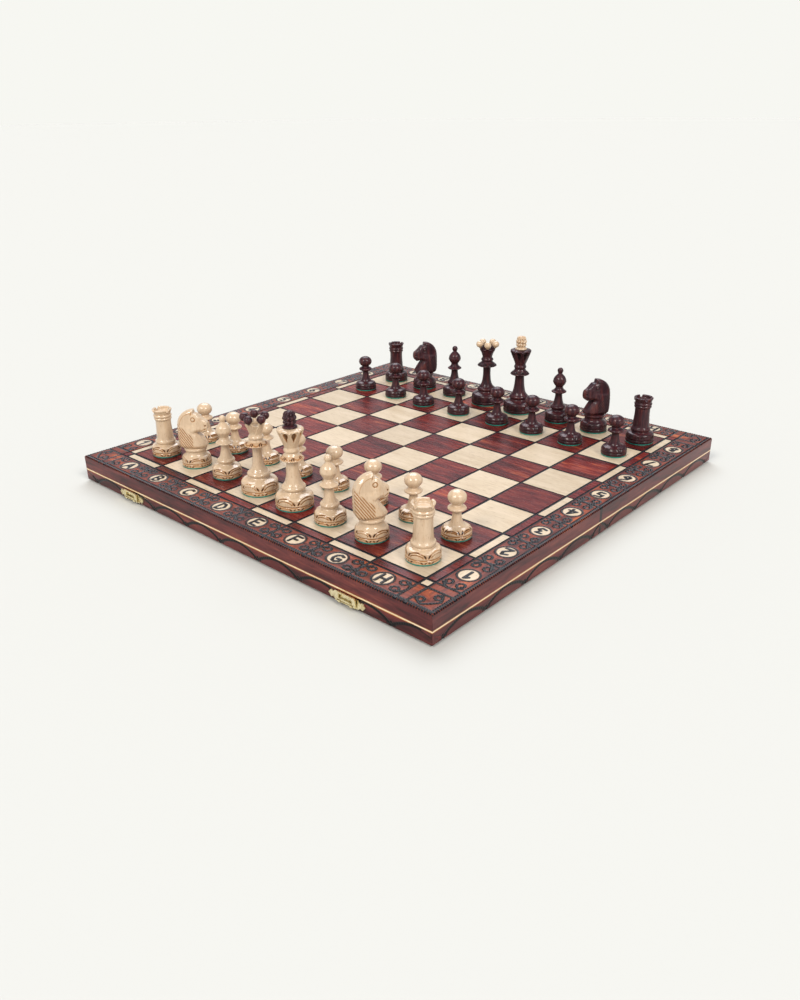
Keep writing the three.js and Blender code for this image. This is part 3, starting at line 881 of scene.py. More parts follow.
def rail_face(solid, turn, low, high, string_low, string_high):
    start, end = outer_face(turn, low, high)
    lower = even(np.array([(0, low[2]), (0, string_low)]), BAND_STEP)[:, 1]
    upper = [string_high, string_high + INLAY_EDGE_WIDTH, PANEL_BOTTOM]
    z = np.concatenate([lower, [string_low, string_high], upper])
    inward = np.zeros_like(z)
    inward[len(lower) : len(lower) + 2] = STRING_DEPTH
    columns = int((end - start) / BAND_STEP)
    u = np.linspace(start, end, columns)
    uu, zz = np.meshgrid(u, z)
    depth, burn = carve_side(uu.ravel(), zz.ravel(), turn)
    carved = np.repeat((np.arange(len(z)) < len(lower) - 1)[:, None], columns, axis=1).ravel()
    depth = np.where(carved, depth, 0)
    joint = at_fold(uu.ravel()) * (turn % 2)
    burn = np.maximum(np.where(carved, burn, 0), joint)
    v = HALF_SIDE - np.repeat(inward[:, None], columns, axis=1).ravel() - depth
    points = np.stack([uu.ravel(), v, zz.ravel()], axis=1)
    beside = np.isin(zz.ravel(), (string_low, string_high))
    solid.add(turned_side(points, turn), grid_faces(len(z), columns), burn=burn, pale=beside)


def add_rail(name, turn, half):
    """One outer rail: a plain bar with a carved outer face."""
    node = f"{half}_half_{name}"
    low, high = box_mm(node)
    string_low, string_high = box_mm(f"{half}_half_stringing")
    solid = Solid("burn", "pale", "crest")
    bar_low, bar_high = low.copy(), high.copy()
    axis, sign = [(1, -1), (0, 1), (1, 1), (0, -1)][turn]
    if sign < 0:
        bar_low[axis] += RAIL_SKIN
    else:
        bar_high[axis] -= RAIL_SKIN
    solid.add_box(bar_low, bar_high)
    rail_face(solid, turn, low, high, string_low[2], string_high[2])
    add_rail_ends(solid, turn, low, high)
    mesh = solid.to_mesh(f"{node}_carved", [SIDE_Y if turn % 2 else SIDE_X])
    shade_carving_smooth(mesh)
    place_on_half(mesh, half, "board_wood", node)


def add_rail_ends(solid, turn, low, high):
    """Closes the narrow gap between the bar and its carved face at both ends."""
    start, end = outer_face(turn, low, high)
    for a, b in ((start, start + 2), (end - 2, end)):
        back, front = HALF_SIDE - RAIL_SKIN - 0.5, HALF_SIDE - 0.02
        corners = [(a, back), (b, back), (b, front), (a, front)]
        points = [(u, v, z) for z in (low[2], RAIL_CAP_TOP) for u, v in corners]
        faces = [(3, 2, 1, 0), (4, 5, 6, 7), (0, 1, 5, 4), (1, 2, 6, 5), (2, 3, 7, 6), (3, 0, 4, 7)]
        solid.add(turned_side(np.array(points, float), turn), faces)


def add_centre_rail(half):
    node = f"{half}_half_centre_rail"
    low, high = box_mm(node)
    high[2] = PANEL_BOTTOM
    solid = Solid("burn", "pale", "crest")
    solid.add_box(low, high)
    place_on_half(solid.to_mesh(f"{node}_bar", [SIDE_X]), half, "board_wood", node)


# How high up the stringing, from 0 to 1, and how orange its wood is there.
STRING_TONES = [(0, 1.0), (0.08, 0.7), (0.2, 0), (0.8, 0), (0.92, 0.7), (1.0, 1.0)]
STRING_BACK = 1.2  # of the stringing inside the rails' outer face
STRING_FRONT = 0.05


def add_stringing(half):
    """A pale strip let into the three outer rails, with orange edges."""
    node = f"{half}_half_stringing"
    low, high = box_mm(node)
    inside, outside = HALF_SIDE - STRING_BACK, HALF_SIDE - STRING_FRONT
    profile = [(inside, low[2], 1.0)]
    profile += [(outside, low[2] + (high[2] - low[2]) * up, edge) for up, edge in STRING_TONES]
    profile += [(inside, high[2], 1.0)]
    sign = -1 if half == "white" else 1
    path = [(-1, 0), (-1, 1), (1, 1), (1, 0)]
    points, burn = [], []
    for side, far in path:
        for v, z, e in profile:
            points.append((side * v, sign * (v if far else FOLD_EDGE), z))
            burn.append(e)
    faces = grid_faces(len(path), len(profile)).tolist()
    solid = Solid("burn")
    solid.add(points, faces, burn=burn)
    place_on_half(solid.to_mesh(f"{node}_strip", [STRINGING]), half, "light_stringing", node)


def add_board():
    rails = {
        "white": [("front_rail", 0), ("right_rail", 1), ("left_rail", 3)],
        "black": [("front_rail", 2), ("right_rail", 1), ("left_rail", 3)],
    }
    for half, sides in rails.items():
        add_half_top(half)
        for name, turn in sides:
            add_rail(name, turn, half)
        add_centre_rail(half)
        add_stringing(half)


# ---------------------------------------------------------------- turned pieces

ROUND = 132  # points round a turned piece
ARCHES = 5  # burnt arches round each base
COLLAR_NICKS = 7  # pairs of nicks round a queen's or king's collar


def lathe(profile, sides=ROUND):
    """Points and faces of a turned shape, closed on the axis at both ends."""
    a = np.arange(sides) * 2 * math.pi / sides
    r, z = profile[:, :1], profile[:, 1:]
    x, y = r * np.cos(a), r * np.sin(a)
    points = np.stack([x, y, np.repeat(z, sides, axis=1)], axis=-1).reshape(-1, 3)
    faces = grid_faces(len(profile), sides, closed=True).tolist()
    ends = np.array([(0, 0, profile[0, 1]), (0, 0, profile[-1, 1])])
    first, last = len(points), len(points) + 1
    top = (len(profile) - 1) * sides
    for i in range(sides):
        j = (i + 1) % sides
        faces.append((first, j, i))
        faces.append((last, top + i, top + j))
    return np.vstack([points, ends]), faces


def cylindrical(points):
    x, y, z = points.T
    return np.arctan2(y, x), np.hypot(x, y), z


def pared(points, radius, depth):
    """Points moved towards the axis by the depth, except where they are close to it."""
    scale = np.where(radius > 1, 1 - depth / np.maximum(radius, 1), 1)
    return points * np.stack([scale, scale, np.ones_like(scale)], axis=1)


def repeat_angle(theta, count, offset=0.0):
    """The angle from the nearest of count places round the axis."""
    period = 2 * math.pi / count
    return (theta - offset + period / 2) % period - period / 2


def leaf(along, up, length, width, slant):
    """How far a point is inside a slanted leaf-shaped nick, from 0 to 1."""
    c, s = math.cos(math.radians(slant)), math.sin(math.radians(slant))
    a, b = along * c + up * s, -along * s + up * c
    return smooth(1.25, 0.55, np.hypot(2 * a / length, 2 * b / width))


def line_mark(distance, width):
    return smooth(width / 2 + 0.35, width / 2 - 0.25, np.abs(distance))


def deepest(marks):
    """The deepest cut and the strongest burning of several marks, each (mask, depth, burn)."""
    depth = np.max([mask * d for mask, d, b in marks], axis=0)
    burn = np.max([mask * b for mask, d, b in marks], axis=0)
    return depth, burn


def arch(along, reach, low, high):
    """The height of a round arch over a point, and whether the point is under it."""
    t = np.clip(along / reach, -1, 1)
    return low + (high - low) * np.sqrt(1 - t * t), np.abs(along) < reach


def base_marks(theta, radius, z, base, shoulder, dotted):
    """Double arches with dark feet on the upper tier, and nicks on the lower one."""
    half = math.pi / ARCHES * base
    along = repeat_angle(theta, ARCHES) * base
    other = np.floor(theta / (2 * math.pi) * ARCHES + 0.5) % 2
    low, high = 7.2, shoulder - 1.2
    on_upper = smooth(6.2, 6.8, z) * smooth(base - 5.5, base - 4.8, radius)
    outer, under_outer = arch(along, 0.86 * half, low, high)
    inner, under_inner = arch(along, 0.60 * half, low, low + 0.62 * (high - low))
    dots = np.where(dotted & (other == 0), np.cos(2 * math.pi * along / 1.6) > 0, 1.0)
    foot = np.abs(along) - 0.80 * half
    marks = [
        (on_upper * under_outer * dots * line_mark(z - outer, 0.8), 0.4, 0.72),
        (on_upper * under_inner * dots * line_mark(z - inner, 0.75), 0.4, 0.7),
        (on_upper * leaf(foot, z - low - 1.7, 4.6, 1.8, 122), 0.9, 1.0),
        (on_upper * leaf(foot + 2.3, z - low - 1.2, 2.6, 0.9, 122), 0.6, 0.7),
        (line_mark(z - 5.3, 0.8), 0.0, 0.5),
    ]
    on_lower = smooth(1.6, 1.9, z) * smooth(5.0, 4.6, z)
    low_arc, under_low = arch(along, 0.56 * half, 2.0, 3.9)
    marks += [
        (on_lower * under_low * line_mark(z - low_arc, 0.6), 0.3, 0.55),
        (on_lower * leaf(np.abs(along) - 0.50 * half, z - 3.0, 3.6, 1.3, 145), 0.7, 1.0),
        (on_lower * leaf(np.abs(along) - 0.84 * half, z - 3.1, 3.0, 1.2, 35), 0.6, 0.95),
        (on_lower, 0.0, 0.12),
    ]
    return deepest(marks)


def collar_marks(theta, radius, z, low, high, ring):
    """Pairs of dark nicks and brown festoons on the slope of a carved collar."""
    along = repeat_angle(theta, COLLAR_NICKS, 0.3) * ring
    half = math.pi / COLLAR_NICKS * ring
    on = smooth(low, low + 0.4, z) * smooth(high, high - 0.4, z)
    on *= smooth(ring - 5.5, ring - 5, radius)
    middle = (low + high) / 2
    festoon = middle + 0.9 * np.cos(math.pi * along / half)
    marks = [
        (on, 0.0, 0.17),
        (on * line_mark(z - festoon, 0.7), 0.3, 0.55),
        (on * leaf(along - 0.9, z - middle, 3.4, 1.4, 66), 0.8, 1.0),
        (on * leaf(along + 1.5, z - middle, 3.0, 1.3, 66), 0.7, 1.0),
    ]
    return deepest(marks)


def base_runs(base, shoulder):
    """The two tiers that every piece stands on, from the felt up to the shoulder."""
    return [
        [(base - 0.8, 1.45), (base - 0.2, 1.6), (base, 2.4)],
        [(base, 2.4), (base + 0.05, 3.4), (base - 0.15, 4.6)],
        [(base - 0.15, 4.6), (base - 1.0, 5.3)],
        [(base - 1.0, 5.3), (base - 0.2, 6.1), (base - 0.1, 7.2), (base - 0.5, shoulder - 2.8)],
    ]


def ball(radius, half_height, centre, start=-50):
    """The right half of a slightly flattened ball, from below up to its pole."""
    return arc((0, centre), (radius, half_height), start, 90)[:-1]


PAWN = {
    "base": 15.0,
    "shoulder": 11.4,
    "runs": [
        [(14.5, 8.6), (13.2, 10.2), (10.6, 11.2), (8.2, 12.1), (6.4, 14.6), (5.0, 19), (4.0, 26)],
        [(4.0, 26), (5.6, 27.2), (8.2, 28.4), (9.2, 29.7), (8.2, 31.2), (5.6, 32.8), (5.0, 33.6)],
        ball(9.2, 7.4, 40.8, -58),
    ],
}
BISHOP = {
    "base": 16.3,
    "shoulder": 13.2,
    "runs": [
        [(15.8, 10.4), (14.6, 12.2), (11.4, 13.2), (8.6, 14.6), (7.8, 16.4)],
        [(7.8, 16.4), (9.2, 17.6), (9.8, 19.4), (9.0, 20.8), (7.8, 21.6)],
        [(7.8, 21.6), (6.2, 25.4), (4.9, 31), (4.4, 37)],
        [(4.4, 37), (7.0, 37.8), (9.4, 39.0), (9.4, 40.0), (7.4, 41.4), (5.4, 43.6), (4.7, 46.2)],
        [(4.7, 46.2), (6.2, 48.2), (8.2, 51.6), (8.4, 53.8), (7.4, 57.4), (5.0, 60.6), (2.6, 62.9)],
        ball(3.8, 3.8, 66.9, -42),
    ],
}
ROOK = {
    "base": 16.8,
    "shoulder": 13.6,
    "runs": [
        [(16.3, 10.8), (15.3, 12.4), (12.8, 13.3), (11.0, 13.8)],
        [(11.0, 13.8), (10.8, 14.8), (11.6, 15.8), (11.9, 17.0), (11.5, 18.4), (10.4, 19.6)],
        [(10.4, 19.6), (9.8, 22), (9.4, 28), (8.9, 36), (9.0, 43.6)],
        [(9.0, 43.6), (10.0, 44.2), (10.2, 45.6), (9.4, 46.9)],
        [(9.4, 46.9), (10.4, 47.7), (10.5, 49.0), (9.5, 50.4)],
        [(9.5, 50.4), (9.9, 51.6), (10.4, 53.2), (11.2, 55.0), (11.3, 55.8)],
        [(11.3, 55.8), (11.0, 56.2), (9.2, 56.2), (8.6, 55.6)],
        [(8.6, 55.6), (8.0, 53.2), (5.8, 51.8), (0.3, 51.6)],
    ],
}
QUEEN = {
    "base": 20.0,
    "shoulder": 15.2,
    "collar": (53.6, 58.0, 12.8),  # from height, to height, and its radius
    "crown": (65.6, 79.4),  # from height to height
    "runs": [
        [(19.5, 12.2), (18.2, 14.2), (14.8, 15.6), (11.8, 17.2), (10.9, 18.8)],
        [(10.9, 18.8), (12.0, 19.6), (12.5, 21.2), (11.6, 22.8), (10.0, 23.8)],
        [(10.0, 23.8), (7.6, 27.4), (5.9, 33), (5.1, 42), (5.2, 51.2)],
        [(5.2, 51.4), (9.0, 52.2), (12.6, 53.3), (12.9, 54.3), (11.2, 55.9), (8.6, 57.8), (6.6, 60)],
        [(6.6, 60), (7.9, 60.6), (8.3, 62), (7.6, 63.4), (6.6, 64.4)],
        [(6.6, 64.4), (7.6, 68.6), (9.2, 73.6), (10.9, 78.9)],
        [(10.9, 78.9), (10.4, 79.4), (8.4, 79.2), (7.4, 77.4), (5.0, 74.6), (0.3, 73.8)],
    ],
}
KING = {
    "base": 20.0,
    "shoulder": 15.2,
    "collar": (52.2, 56.6, 12.4),
    "crown": (67.0, 82.4),
    "runs": [
        [(19.5, 12.2), (18.2, 14.2), (14.8, 15.6), (11.8, 17.2), (10.9, 18.8)],
        [(10.9, 18.8), (12.2, 19.8), (12.7, 21.4), (11.8, 23.2), (10.4, 24.4)],
        [(10.4, 24.4), (8.4, 28.4), (7.0, 35), (6.3, 42), (5.9, 49.4)],
        [(5.9, 49.8), (9.0, 50.6), (12.2, 51.8), (12.4, 52.8), (10.8, 54.4), (8.2, 56.8), (6.8, 59.2)],
        [(6.8, 59.2), (7.8, 60.4), (8.1, 62), (7.4, 63.6), (6.9, 65)],
        [(6.9, 65), (7.6, 66.6), (10.2, 73.4), (13.9, 82.6)],
        [(13.9, 82.6), (13.4, 83.8), (11.2, 84.8), (7.6, 85.1), (0.3, 85.1)],
    ],
}
KNIGHT_STAND = {
    "base": 16.8,
    "shoulder": 13.2,
    "runs": [
        [(16.3, 10.4), (15.2, 12.2), (13.0, 13.6), (11.6, 15.6), (11.2, 18.4)],
        [(11.2, 18.4), (12.3, 19.2), (12.8, 20.4), (12.3, 21.6), (11.4, 22.2), (0.3, 22.3)],
    ],
}


def turned_piece(spec, dotted, extra, carving):
    """Points, faces and burning of a turned and carved piece; carving scales its base's cuts."""
    runs = base_runs(spec["base"], spec["shoulder"]) + spec["runs"]
    floor = [(0.3, 1.45), (spec["base"] - 0.8, 1.45)]
    points, faces = lathe(outline_of([floor, *runs], 0.55))
    theta, radius, z = cylindrical(points)
    depth, burn = base_marks(theta, radius, z, spec["base"], spec["shoulder"], dotted)
    depth, burn = depth * carving, burn * carving
    sink_z = np.zeros_like(z)
    if extra is not None:
        more, also_burnt, sink_z = extra(theta, radius, z)
        depth = np.maximum(depth, more)
        burn = np.maximum(burn, also_burnt)
    points = pared(points, radius, depth)
    points[:, 2] -= sink_z
    return points, faces, burn


ROOK_SLOT = 3.2


def rook_extra(theta, radius, z):
    """Four rounded slots in the crown, open to the bowl."""
    across = radius * np.sin(repeat_angle(theta, 4))
    in_slot = smooth(ROOK_SLOT / 2 + 0.35, ROOK_SLOT / 2 - 0.25, np.abs(across))
    on_rim = smooth(51.9, 52.5, z) * smooth(6.0, 7.4, radius)
    floor = 53.1 + 1.4 * (np.clip(np.abs(across), 0, 1.6) / 1.6) ** 3
    sink = in_slot * on_rim * np.clip(z - floor, 0, None)
    groove = np.maximum(line_mark(z - 46.9, 0.5), line_mark(z - 50.5, 0.5))
    return np.zeros_like(z), 0.25 * groove, sink


def queen_extra(theta, radius, z):
    """A carved collar, and a crown cut between its points."""
    depth, burn = collar_marks(theta, radius, z, *QUEEN["collar"])
    away = np.abs(repeat_angle(theta, ARCHES, math.pi / ARCHES)) / (math.pi / ARCHES)
    t = share_of(z, *QUEEN["crown"])
    on_crown = smooth(64.8, 66.2, z) * (radius > 6)
    edge = away - 0.80 * t
    panel = np.where(edge < 0, 1.2 + 1.5 * t, 0.5)
    depth = np.maximum(depth, on_crown * smooth(0.07, 0.17, np.abs(edge)) * panel)
    sink = smooth(71, 79.4, z) * smooth(0.80, 0.45, away) * 3.6 * smooth(6.6, 8.0, radius)
    return depth, burn, sink


KITES = 8


def king_extra(theta, radius, z):
    """A carved collar, and a crown of long ribs with kite-shaped openings between them."""
    depth, burn = collar_marks(theta, radius, z, *KING["collar"])
    away = np.abs(repeat_angle(theta, KITES, math.pi / KITES)) / (math.pi / KITES)
    t = share_of(z, *KING["crown"])
    on_crown = smooth(66.4, 68.0, z) * smooth(83.4, 82.2, z) * (radius > 6)
    rib = np.abs(away - 0.92 * t)
    facet = smooth(0.07, 0.17, rib)
    panel = np.where(away > 0.92 * t, 0.5, 1.3)
    depth = np.maximum(depth, on_crown * facet * panel * (0.5 + 0.5 * t))
    wide = np.interp(z, [71.6, 78.4, 80.8, 82.2], [0, 0.58, 0.50, 0.06])
    kite = smooth(0.06, -0.06, away - wide) * (z > 71.6) * (z < 82.2) * (radius > 6)
    depth = np.maximum(depth, 3.0 * kite)
    burn = np.maximum(burn, 0.66 * kite)
    lobes = 0.9 * smooth(81.6, 83.4, z) * smooth(8.6, 12.0, radius) * (away > 0.72)
    return depth, burn, lobes


# ---------------------------------------------------------------- the knights

HORSE = [
    [(12.6, 22.2), (14.7, 24.2), (14.9, 26.2), (12.4, 30.6), (8.4, 35.8), (4.4, 40.8)],
    [(4.4, 40.8), (8.0, 41.6), (11.6, 40.8)],
    [(11.6, 40.8), (14.0, 41.0), (15.8, 42.6)],
    [(15.8, 42.6), (17.0, 45.6), (17.2, 49.0), (16.8, 51.6), (15.6, 53.6)],
    [(15.6, 53.6), (12.0, 55.8), (8.2, 59.4), (5.4, 61.8), (2.4, 62.3)],
    [(2.4, 62.3), (2.3, 64.6), (1.6, 66.8)],
    [(1.6, 66.8), (-3.2, 66.3), (-8, 64.4), (-11.8, 61.6), (-14.6, 57.8), (-16.6, 53)],
    [(-16.6, 53), (-17.3, 47), (-17.3, 37), (-16.8, 29), (-15.6, 24.6), (-12.4, 22.0)],
    [(-12.4, 22.0), (0, 21.8), (12.6, 22.2)],
]
HORSE_CELL = 0.55
HORSE_REACH = 12.1  # to each side, more than half the horse's thickness
HORSE_ROUNDING = 3.6  # width of the rounded edge of its flanks
CREST = 3.4  # width of the raised edge along the neck
EYE = (2.2, 56.2)


def distance_inside(u, z, outline):
    """Distance to a closed outline, positive inside it."""
    a, b = outline, np.roll(outline, -1, axis=0)
    inside = np.zeros(u.shape, bool)
    for (x0, z0), (x1, z1) in zip(a, b):
        if z0 == z1:
            continue
        crosses = (z0 > z) != (z1 > z)
        inside ^= crosses & (u < (x1 - x0) * (z - z0) / (z1 - z0) + x0)
    distance = Strokes([np.vstack([outline, outline[:1]])], 0.3).near(u.ravel(), z.ravel())[0]
    return np.where(inside, 1, -1) * distance.reshape(u.shape)


def below_line(u, z, start, end):
    """How far a point is to the right of a line, seen from its start."""
    du, dz = end[0] - start[0], end[1] - start[1]
    length = math.hypot(du, dz)
    return ((u - start[0]) * dz - (z - start[1]) * du) / length


def horse_half_width(u, z):
    """Half the horse's thickness away from its edges: broad chest, slim head, slimmer muzzle."""
    width = np.interp(z, [18, 24, 38, 48, 60, 67], [10.2, 10.6, 9.2, 7.6, 6.6, 5.6])
    muzzle = smooth(6.5, 15.5, u) * smooth(38, 42, z)
    width = width - 2.6 * muzzle
    chest = np.clip(below_line(u, z, (8.6, 18), (3.0, 41)), 0, None) * smooth(41, 38, z)
    width = width - 0.62 * chest
    cheek = smooth(5.6, 3.0, np.hypot(u - 2.2, z - 45.4))
    return width + 0.7 * cheek


def surface_net(field, origin, cell):
    """Points and quads where a field on a grid changes sign; it is positive inside."""
    n = np.array(field.shape)
    inside = field > 0
    total = np.zeros((*(n - 1), 3))
    count = np.zeros(n - 1)
    index = np.stack(np.meshgrid(*[np.arange(k) for k in n], indexing="ij"), axis=-1)
    changes = []
    for axis in range(3):
        low = [slice(None)] * 3
        high = [slice(None)] * 3
        low[axis], high[axis] = slice(0, -1), slice(1, None)
        a, b = field[tuple(low)], field[tuple(high)]
        change = inside[tuple(low)] != inside[tuple(high)]
        share = np.where(change, a / np.where(change, a - b, 1), 0)
        where = index[tuple(low)].astype(float)
        where[..., axis] += share
        changes.append(change)
        others = [k for k in range(3) if k != axis]
        for p in (0, 1):
            for q in (0, 1):
                cut = [slice(None)] * 3
                cut[others[0]] = slice(p, n[others[0]] - 1 + p)
                cut[others[1]] = slice(q, n[others[1]] - 1 + q)
                total += np.where(change[tuple(cut)][..., None], where[tuple(cut)], 0)
                count += change[tuple(cut)]
    active = count > 0
    number = np.full(active.shape, -1)
    number[active] = np.arange(active.sum())
    points = total[active] / count[active][:, None] * cell + origin
    faces = []
    for axis, change in enumerate(changes):
        p, q = [(1, 2), (2, 0), (0, 1)][axis]
        at = np.argwhere(change)
        keep = (at[:, p] > 0) & (at[:, q] > 0)
        keep &= (at[:, p] < n[p] - 1) & (at[:, q] < n[q] - 1)
        at = at[keep]
        quad = []
        for dp, dq in ((1, 1), (0, 1), (0, 0), (1, 0)):
            corner = at.copy()
            corner[:, p] -= dp
            corner[:, q] -= dq
            quad.append(number[tuple(corner.T)])
        quad = np.stack(quad, axis=1)
        flip = ~inside[tuple(at.T)]
        quad[flip] = quad[flip][:, ::-1]
        faces += quad.tolist()
    return points, faces


def horse_marks(points, inside):
    """The carving on the horse's two flanks: hatching, mane line, eye, nostril and mouth."""
    u, v, z = points.T
    slope = math.radians(-55)
    across = u * math.sin(slope) - z * math.cos(slope)
    hatch = 0.5 + 0.5 * np.cos(2 * math.pi * across / 2.2)
    edge = below_line(u, z, (-17.0, 53.0), (0.6, 37.0))
    zone = smooth(0.3, 1.3, edge) * smooth(1.4, 0.4, u) * smooth(23.0, 24.2, z)
    eye = np.hypot(u - EYE[0], z - EYE[1])
    mouth = leaf(u - 13.6, z - 44.2, 5.6, 0.9, 14)
    nostril = smooth(1.2, 0.5, np.hypot(u - 15.0, z - 48.4))
    jaw = line_mark(np.hypot(u - 1.6, z - 46.6) - 8.4, 0.6) * smooth(2, 5, u) * smooth(50, 47, z)
    ear = leaf(u - 0.2, z - 62.6, 4.6, 1.4, 78)
    crest = line_mark(inside - CREST, 0.7) * smooth(0, -1.5, u) * smooth(48, 51, z)
    marks = [
        (zone * smooth(0.45, 0.9, hatch), 0.65, 0.5),
        (crest, 0.4, 0.28),
        (smooth(0.6, 0.25, np.abs(eye - 2.3)), 0.6, 0.55),
        (mouth, 0.7, 0.6),
        (nostril, 0.8, 0.7),
        (jaw, 0.3, 0.18),
        (ear, 0.5, 0.35),
    ]
    depth, burn = deepest(marks)
    return depth - 0.35 * smooth(1.6, 0.6, eye), burn


def horse():
    """Points, faces and burning of the carved horse, looking along +X."""
    outline = outline_of(HORSE, 0.6)[:-1]
    low = outline.min(axis=0) - 2 * HORSE_CELL
    high = outline.max(axis=0) + 2 * HORSE_CELL
    u = np.arange(low[0], high[0], HORSE_CELL)
    z = np.arange(low[1], high[1], HORSE_CELL)
    v = np.arange(-HORSE_REACH, HORSE_REACH, HORSE_CELL)
    uu, zz = np.meshgrid(u, z, indexing="ij")
    inside = distance_inside(uu, zz, outline)
    width = horse_half_width(uu, zz)
    crest = smooth(-6, -12, uu) * 0.6 + smooth(56, 62, zz) * smooth(4, -2, uu) * 0.6
    share = 0.62 - 0.22 * np.clip(crest, 0, 1)
    lip = np.clip(inside / HORSE_ROUNDING, 0, 1)
    edge = share + (1 - share) * (0.55 * lip + 0.45 * np.sqrt(1 - (1 - lip) ** 2))
    thick = (width * edge)[:, None, :]
    in_neck = smooth(CREST, CREST + 0.7, inside) * smooth(1.0, -1.0, uu) * smooth(46, 50, zz)
    thick -= 0.7 * in_neck[:, None, :]
    field = np.minimum(thick - np.abs(v)[None, :, None], inside[:, None, :])
    points, faces = surface_net(field, np.array([u[0], v[0], z[0]]), HORSE_CELL)
    at = points[:, [0, 2]]
    depth, burn = horse_marks(points, distance_inside(at[:, 0], at[:, 1], outline))
    flank = smooth(1.5, 3.0, np.abs(points[:, 1]))
    points[:, 1] -= np.sign(points[:, 1]) * depth * flank
    return points, faces, burn * flank


# ---------------------------------------------------------------- making and setting out

def gathered(*shapes):
    """One solid of shapes that are each given as points, faces and burning."""
    solid = Solid("burn")
    for points, faces, burn in shapes:
        solid.add(points, faces, burn=burn)
    return solid


BEAD_RADIUS = 4.7
BEAD_RING = 11.4
BEAD_HEIGHT = 83.2
QUEEN_TURN = {"white": 70, "black": 18}  # degrees, to the first of its five balls


def beads():
    """Five balls on the queen's points, with the pegs that hold them."""
    ball_profile = arc((0, 0), (BEAD_RADIUS, 4.4), -89, 89, 0.35)
    peg_profile = np.array([(1.5, -5.4), (1.9, -4.6), (1.6, -3.4)])
    shapes = []
    for i in range(ARCHES):
        a = 2 * math.pi * i / ARCHES
        for profile, ring in ((ball_profile, BEAD_RING), (peg_profile, 0.9 * BEAD_RING)):
            points, faces = lathe(profile, 40)
            points += (ring * math.cos(a), ring * math.sin(a), BEAD_HEIGHT)
            shapes.append((points, faces, 0.0))
    return gathered(*shapes)


def finial():
    """The king's carved knob: a plain disc under four tiers of notched leaves."""
    profile = outline_of(
        [
            [(0.3, 85.3), (7.0, 85.3), (7.4, 86.2), (6.9, 87.2), (4.6, 88.2)],
            [(4.6, 88.2), (6.4, 89.6), (6.9, 91.4), (5.9, 93.0)],
            [(5.9, 93.0), (7.0, 94.2), (7.1, 96.2), (5.8, 97.8)],
            [(5.8, 97.8), (6.2, 98.8), (5.4, 100.8), (3.2, 102.1), (0.3, 102.5)],
        ],
        0.4,
    )
    points, faces = lathe(profile, 96)
    theta, radius, z = cylindrical(points)
    carved = smooth(88.2, 89.2, z) * smooth(1.0, 3.0, radius)
    notch = 0.5 + 0.5 * np.cos(ARCHES * 2 * theta + 0.9 * np.sin(2 * math.pi * (z - 88) / 4.8))
    cross = smooth(0.6, 0.2, np.abs(np.sin(theta * 2))) * smooth(96, 99, z)
    depth = carved * (1.5 * notch**2 + 0.9 * cross)
    return gathered((pared(points, radius, depth), faces, carved * smooth(0.75, 1, notch) * 0.3))


FELT_THICKNESS = 1.5
FELT_MARGIN = 0.35  # of the wood beyond the felt under it


def felt_mesh(radius, name):
    profile = [(0.3, 0.05), (radius - 0.3, 0.05), (radius, 0.35), (radius, FELT_THICKNESS)]
    solid = gathered((*lathe(np.array([*profile, (0.3, FELT_THICKNESS)]), 72), 0.0))
    return solid.to_mesh(name, [FELT], smooth_shading=True)


FILES = "abcdefgh"
BACK_ROW = ["rook", "knight", "bishop", "queen", "king", "bishop", "knight", "rook"]
KNIGHT_TURN = {"b1": 38, "g1": 62, "b8": 238, "g8": 238}
ROOK_TURN = {"h8": 45}
# Each kind's turned shape, whether its arches are dotted, and its further carving.
KINDS = {
    "pawn": (PAWN, False, None),
    "rook": (ROOK, True, rook_extra),
    "knight": (KNIGHT_STAND, True, None),
    "bishop": (BISHOP, False, None),
    "queen": (QUEEN, True, queen_extra),
    "king": (KING, False, king_extra),
}
FELT_RADIUS = {kind: spec["base"] - FELT_MARGIN for kind, (spec, *_) in KINDS.items()}


def standing_place(body):
    """The middle of the round base that a piece stands on."""
    spots = [v.co for v in bpy.data.objects[body].data.vertices]
    lowest = min(spot.z for spot in spots) + 0.5 * MM
    foot = np.array([spot[:2] for spot in spots if spot.z < lowest]) / MM
    return (foot.min(axis=0) + foot.max(axis=0)) / 2


def piece_name(colour, kind, square):
    return f"{colour}_{kind}" if kind in ("king", "queen") else f"{colour}_{kind}_{square}"


def set_out(colour, rank, kinds, meshes, felts):
    """Stands a row of pieces on the board, each with its felt and any trimming."""
    for file, kind in zip(FILES, kinds):
        square = f"{file}{rank}"
        body = piece_name(colour, kind, square)
        x, y = standing_place(body)
        turn = QUEEN_TURN[colour] if kind == "queen" else KNIGHT_TURN.get(square, 0)
        turn = math.radians(turn + ROOK_TURN.get(square, 0))
        wood = "light_wood" if colour == "white" else "dark_wood"
        carved = add_object(f"{body}_carved", meshes[kind], x, y, BOARD_TOP, turn)
        place(carved, body, wood, body)
        felt = add_object(f"{body}_felt", felts[kind], x, y, BOARD_TOP)
        place(felt, body, "felt")
        trim = {"king": "finial", "queen": "beads"}.get(kind)
        if trim:
            other = "dark_wood" if colour == "white" else "light_wood"
            topping = add_object(f"{body}_{trim}_carved", meshes[trim], x, y, BOARD_TOP, turn)
            place(topping, body, other, f"{body}_{trim}")


def piece_solids(carving, horse_shape):
    """The carved wood of each kind of piece; only the knight has a part that isn't turned."""
    shapes = {kind: [turned_piece(*how, carving)] for kind, how in KINDS.items()}
    shapes["knight"].append(horse_shape)
    return {kind: gathered(*parts) for kind, parts in shapes.items()}


